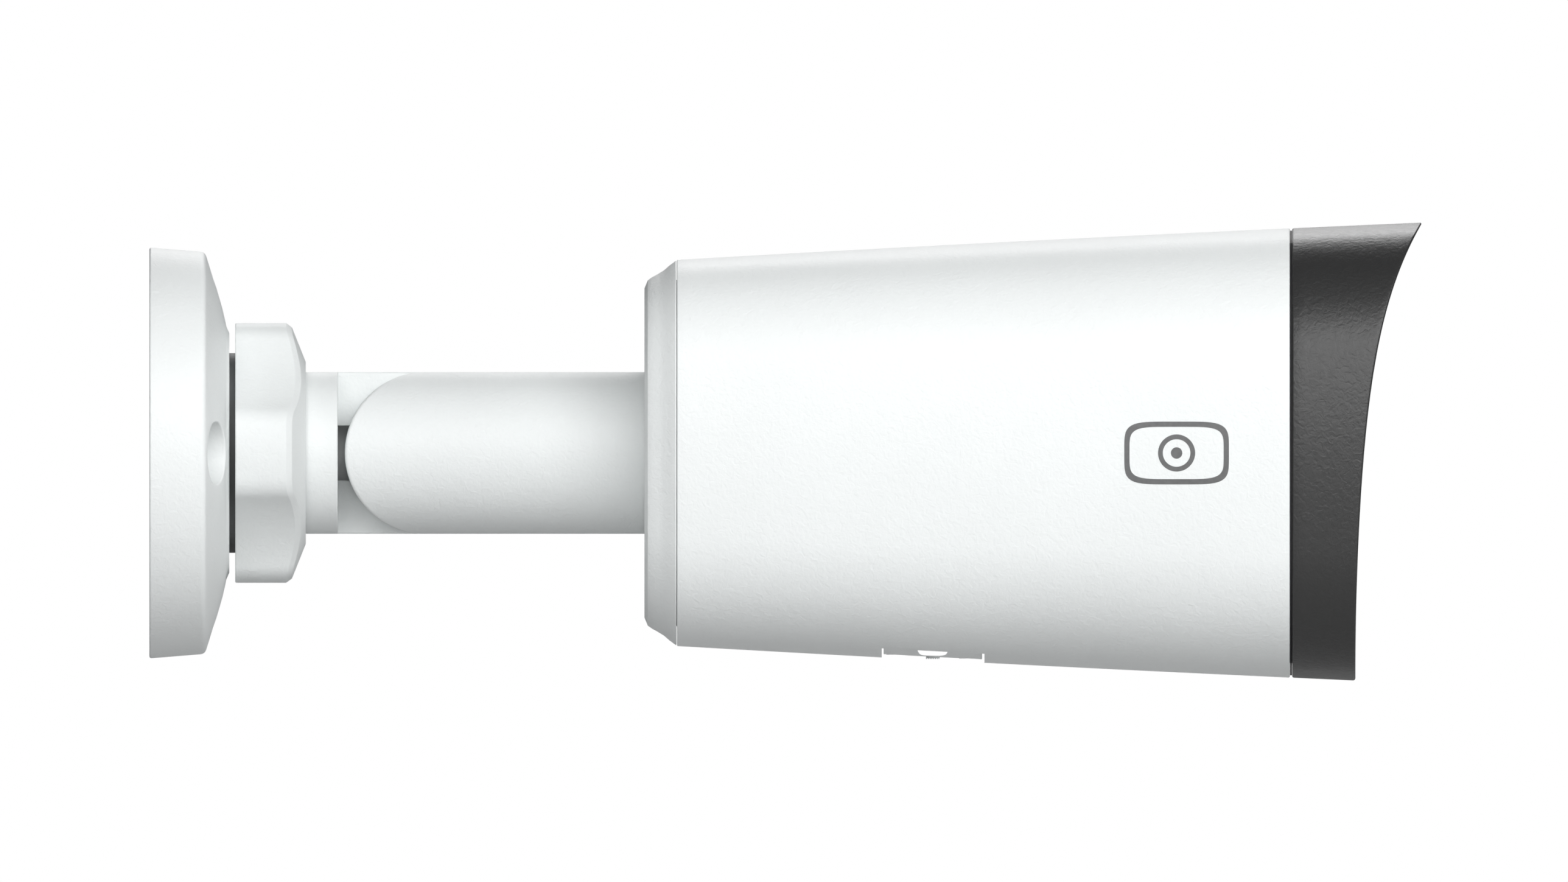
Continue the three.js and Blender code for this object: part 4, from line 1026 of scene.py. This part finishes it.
def make_visor():
    """Front hood: the tube's front edge leans forward to a long brow."""
    rings = []
    hood_x = 252.0
    rear_round, edge_round = 0.35, 0.5
    stop_x, seat_x, step_x = 248.4, VISOR_X0 + 0.8, 233.0
    pane_half = WINDOW_HALF + 0.4

    def ring(x_at, depth):
        points = []
        for y, z in SQUARE:
            x = hood_x
            for _ in range(5):
                x = x_at(z * (body_half(x) - depth))
            half = body_half(x) - depth
            points.append((x, y * half, z * half))
        rings.append(points)

    def straight(x, depth):
        ring(lambda z: x, depth)

    def toward_edge(fraction, depth, back):
        ring(lambda z: hood_x + (hood_edge(z) - back - hood_x) * fraction, depth)

    def edge_corner(outside):
        """The rounding between one of the hood's surfaces and its front face."""
        for i in range(5) if outside else range(4, -1, -1):
            a = math.pi / 2 * i / 4
            back = edge_round * (1 - math.sin(a))
            inset = edge_round * (1 - math.cos(a))
            toward_edge(1.0, inset if outside else HOOD_WALL - inset, back)

    straight(VISOR_X0, rear_round)
    straight(VISOR_X0 + 0.1, 0.1)
    straight(VISOR_X0 + rear_round, 0)
    for i in range(1, 5):
        straight(VISOR_X0 + (hood_x - VISOR_X0) * i / 4, 0)
    for i in range(1, 8):
        toward_edge(i / 8, 0, edge_round * i / 8)
    edge_corner(True)
    edge_corner(False)
    for i in range(7, 0, -1):
        toward_edge(i / 8, HOOD_WALL, edge_round * i / 8)
    for x, half in rounded([
        (hood_x, body_half(hood_x) - HOOD_WALL), (LIP_X, body_half(LIP_X) - HOOD_WALL, 0.8),
        (LIP_X, LIP_HALF, 0.5), (stop_x, LIP_HALF, 0.2), (stop_x, pane_half),
        (seat_x, pane_half), (seat_x, 41.5), (step_x, 41.0), (step_x, 43.6, 0.4),
        (VISOR_X0, 44.2),
    ]):
        rings.append([(x, y * half, z * half) for y, z in SQUARE])
    visor = grid("visor", rings)
    tools = []
    pocket_x = LIP_X - 0.4
    for i in range(4):
        y, z = centre_of(f"front_screw_{i + 1}")
        tools.append(bar_x(CLEARANCE_R, VISOR_X0 + 1, 255, y, z, SMALL_CIRCLE))
        tools.append(sweep("tool", [
            (pocket_x, 0), (pocket_x, 3.35), (LIP_X + 0.05, 3.9), (LIP_X + 1, 5), (LIP_X + 1, 0),
        ], SMALL_CIRCLE, (y, z)))
    cut(visor, *tools)
    dress(visor, "visor_shell", VISOR_COAT, ["visor"], angle=50)


def make_window():
    glass = sweep("glass", [
        (GLASS_X0, 0), (GLASS_X0, WINDOW_HALF, 0.3), (GLASS_X1, WINDOW_HALF, 0.3), (GLASS_X1, 0),
    ], SQUARE)
    dress(glass, "window_pane", GLASS, ["front_glass"], angle=30)
    x0, x1 = span("glass_gasket")[0]
    inner = LIP_HALF + 0.2
    gasket = sweep("gasket", [
        (x0, inner, 0.15), (x0, WINDOW_HALF, 0.15), (x1, WINDOW_HALF, 0.15), (x1, inner, 0.15),
    ], SQUARE)
    dress(gasket, "window_gasket", RUBBER, ["glass_gasket"])
    x0, x1 = span("front_gasket")[0]
    outer, inner = body_half(BODY_X1) - 0.45, body_half(BODY_X1) - 2.4
    ring = sweep("gasket", [(x0, inner), (x0, outer, 0.15), (x1, outer, 0.15), (x1, inner)], SQUARE)
    dress(ring, "seam_gasket", RUBBER, ["front_gasket"])


def make_bezel():
    """Black mask behind the window, with flared openings for the lens, the lamps and the sensor."""
    behind, ahead = 240, 245

    def opening(outline, ring=CIRCLE, at=(0, 0)):
        return sweep("tool", [(behind, 0), *outline, (ahead, 0)], ring, at)

    bezel = sweep("bezel", [
        (BEZEL_X0, 0), (BEZEL_X0, WINDOW_HALF), (BEZEL_X1, WINDOW_HALF, 0.3), (BEZEL_X1, 0),
    ], SQUARE)
    tools = [opening([(behind, 13.8), (243.2, 13.8), (ahead, 15.6)])]
    for i in range(4):
        at = centre_of(f"ir_led_{i + 1}")
        tools.append(opening([(behind, 4.6), (241.6, 4.6), (ahead, 6.4)], at=at))
    _, sensor_z = centre_of("light_sensor")
    outline = [(behind, 1.7), (243.6, 2.0), (ahead, 2.8)]
    tools.append(opening(outline, SMALL_CIRCLE, (0, sensor_z)))
    cut(bezel, *tools)
    dress(bezel, "window_mask", GLOSS_BLACK, ["front_bezel"], angle=35)


def make_barrel():
    """Lens barrel with fine grooves outside and a stepped mouth round the front element."""
    (x0, x1), (_, barrel_r), _ = span("lens_barrel")
    root_r, mouth_r, throat_r = 9.0, 12.3, 11.35
    throat_x1, throat_x0 = 235, LENS_X0 - 0.2
    profile = [(x0, root_r), (x0, barrel_r, 0.4)]
    first_groove, pitch = 221.0, 1.2
    x = first_groove
    while x < x1 - 3:
        profile += [(x, barrel_r), (x + 0.3, barrel_r - 0.35), (x + 0.6, barrel_r)]
        x += pitch
    profile += [(x1, barrel_r, 0.4), (x1, mouth_r, 0.2)]
    for i in range(5):
        a = x1 - 0.3 - 3.4 * i / 5
        narrowing = 0.13 * i
        profile += [
            (a, 12.2 - narrowing), (a - 0.25, 12.35 - narrowing), (a - 0.5, 12.1 - narrowing),
        ]
    profile += [(throat_x1, throat_r), (throat_x0, throat_r), (throat_x0, root_r)]
    barrel = sweep("barrel", profile)
    dress(barrel, "lens_barrel_turned", SATIN_BLACK, ["lens_barrel"], angle=30)


def make_front_element():
    (x0, x1), (_, lens_r), _ = span("lens_front")
    dome_x, dome_r, steps = x0 + 1.5, lens_r - 0.9, 12
    dome = [(x0, 0), (x0, lens_r, 0.2), (x0 + 1.4, lens_r, 0.2), (dome_x, dome_r)]
    for i in range(1, steps + 1):
        r = dome_r * (1 - i / steps)
        dome.append((x1 - (x1 - x0 - 1.5) * (r / dome_r) ** 2, r))
    dress(sweep("lens", dome), "front_element", LENS, ["lens_front"], angle=30)


def make_light_seal():
    (x0, x1), (_, seal_r), _ = span("light_seal")
    inner = 13.3
    seal = sweep("seal", [
        (x0, inner), (x0, seal_r, 0.4), (x1 - 2, seal_r, 0.5), (x1, 14.2, 0.3), (x1, inner, 0.2),
    ])
    dress(seal, "light_seal_moulded", RUBBER, ["light_seal"])


def make_lamp(node):
    """Infra-red lamp: a domed epoxy body in a bright reflector cup."""
    foot_r, body_r = 3.6, 3.0
    x0, x1 = span(node)[0]
    cup_x0, cup_x1 = x0 + 1.2, 241.3
    at = centre_of(node)
    lamp = sweep("lamp", [
        (x0, 0), (x0, foot_r, 0.2), (x0 + 1, foot_r, 0.3), (x0 + 1, body_r), (x0 + 2.7, body_r),
        (x0 + 3.7, 2.7), (x0 + 4.5, 2.05), (x0 + 5.0, 1.3), (x1 - 0.06, 0.6), (x1, 0),
    ], SMALL_CIRCLE, at)
    dress(lamp, f"{node}_dome", LED, [node], angle=30)
    cup = sweep("cup", [
        (cup_x0, 3.8), (cup_x0, 5.2), (cup_x1, 6.0, 0.2), (cup_x1, 5.6, 0.2),
    ], SMALL_CIRCLE, at)
    dress(cup, f"{node}_reflector", ALLOY, body="camera")


make_base()
make_nut()
make_stem()
make_arm()
socket_screw("tilt_screw_turned", "tilt_screw")
make_rear_cover()
for i in range(4):
    pan_screw(f"rear_screw_{i + 1}", False)
    pan_screw(f"front_screw_{i + 1}", True)
make_housing()
make_hatch()
hatch_screw("hatch_screw_1")
hatch_screw("hatch_screw_2")
make_mark()
make_visor()
make_window()
make_bezel()
make_barrel()
make_front_element()
make_light_seal()
for i in range(4):
    make_lamp(f"ir_led_{i + 1}")

# ------------------------------------------------------------------ floor, light and camera

LIGHT_TARGET = Vector((0.135, 0, 0))
LIGHT_DISTANCE = 1.8
SKY_COLOR = (0.96, 0.98, 1, 1)
SKY_STRENGTH = 0.1
PICTURE_WIDTH = 0.3297
PICTURE_CENTRE = (0.13345, 0.00252)
CAMERA_DISTANCE = 1.2


def make_floor():
    """A plain pale floor that looks a little brighter to the camera than to the object."""
    half, top, own_light = 4000, -150, 0.45
    floor = block((-half, half), (-half, half), (top - 2, top))
    floor.name = "floor"
    n = Nodes("studio_floor")
    n.bump(n.noise(30, 2.0), 0.05)
    pale = n.ramp(n.noise(3, 2.0), [(0.3, (0.60, 0.60, 0.60)), (0.7, (0.62, 0.62, 0.62))])
    n.set(color=pale, rough=0.6)
    n.link(pale, n.shader.inputs["Emission Color"])
    seen = n.add("ShaderNodeLightPath").outputs["Is Camera Ray"]
    n.link(n.spread(seen, 0.0, own_light), n.shader.inputs["Emission Strength"])
    floor.data.materials.append(n.material)


def softbox(name, azimuth, elevation, width, height, power):
    """A soft rectangular light aimed at the object; azimuth 0 is on the viewer's side."""
    turn_by, rise = math.radians(azimuth), math.radians(elevation)
    level = math.cos(rise)
    way = Vector((level * math.sin(turn_by), -level * math.cos(turn_by), math.sin(rise)))
    data = bpy.data.lights.new(name, "AREA")
    data.shape = "RECTANGLE"
    data.size = width
    data.size_y = height
    data.energy = power
    light = link(name, data)
    light.location = LIGHT_TARGET + LIGHT_DISTANCE * way
    light.rotation_euler = (-way).to_track_quat("-Z", "Y").to_euler()


def make_world():
    """A white studio: plain white behind the object, a dimmer even light on it."""
    world = bpy.data.worlds.new("studio")
    world.use_nodes = True
    bpy.context.scene.world = world
    tree = world.node_tree
    seen = tree.nodes.new("ShaderNodeBackground")
    seen.inputs["Color"].default_value = (1, 1, 1, 1)
    seen.inputs["Strength"].default_value = 1.0
    lit = tree.nodes["Background"]
    lit.inputs["Color"].default_value = SKY_COLOR
    lit.inputs["Strength"].default_value = SKY_STRENGTH
    rays = tree.nodes.new("ShaderNodeLightPath")
    mix = tree.nodes.new("ShaderNodeMixShader")
    tree.links.new(rays.outputs["Is Camera Ray"], mix.inputs["Fac"])
    tree.links.new(lit.outputs["Background"], mix.inputs[1])
    tree.links.new(seen.outputs["Background"], mix.inputs[2])
    tree.links.new(mix.outputs["Shader"], tree.nodes["World Output"].inputs["Surface"])


def make_camera():
    """An exact side view."""
    data = bpy.data.cameras.new("camera")
    data.type = "ORTHO"
    data.ortho_scale = PICTURE_WIDTH
    data.clip_end = 20
    camera = link("camera", data)
    camera.location = (PICTURE_CENTRE[0], -CAMERA_DISTANCE, PICTURE_CENTRE[1])
    camera.rotation_euler = (math.pi / 2, 0, 0)
    bpy.context.scene.camera = camera


make_floor()
make_world()
softbox("key", 9, 25, 2.6, 1.2, 35.2)
softbox("accent", 45, 35, 0.9, 0.9, 3.8)
softbox("rim", 180, 30, 0.8, 0.8, 7.5)
make_camera()
bpy.context.scene.view_settings.view_transform = "Standard"
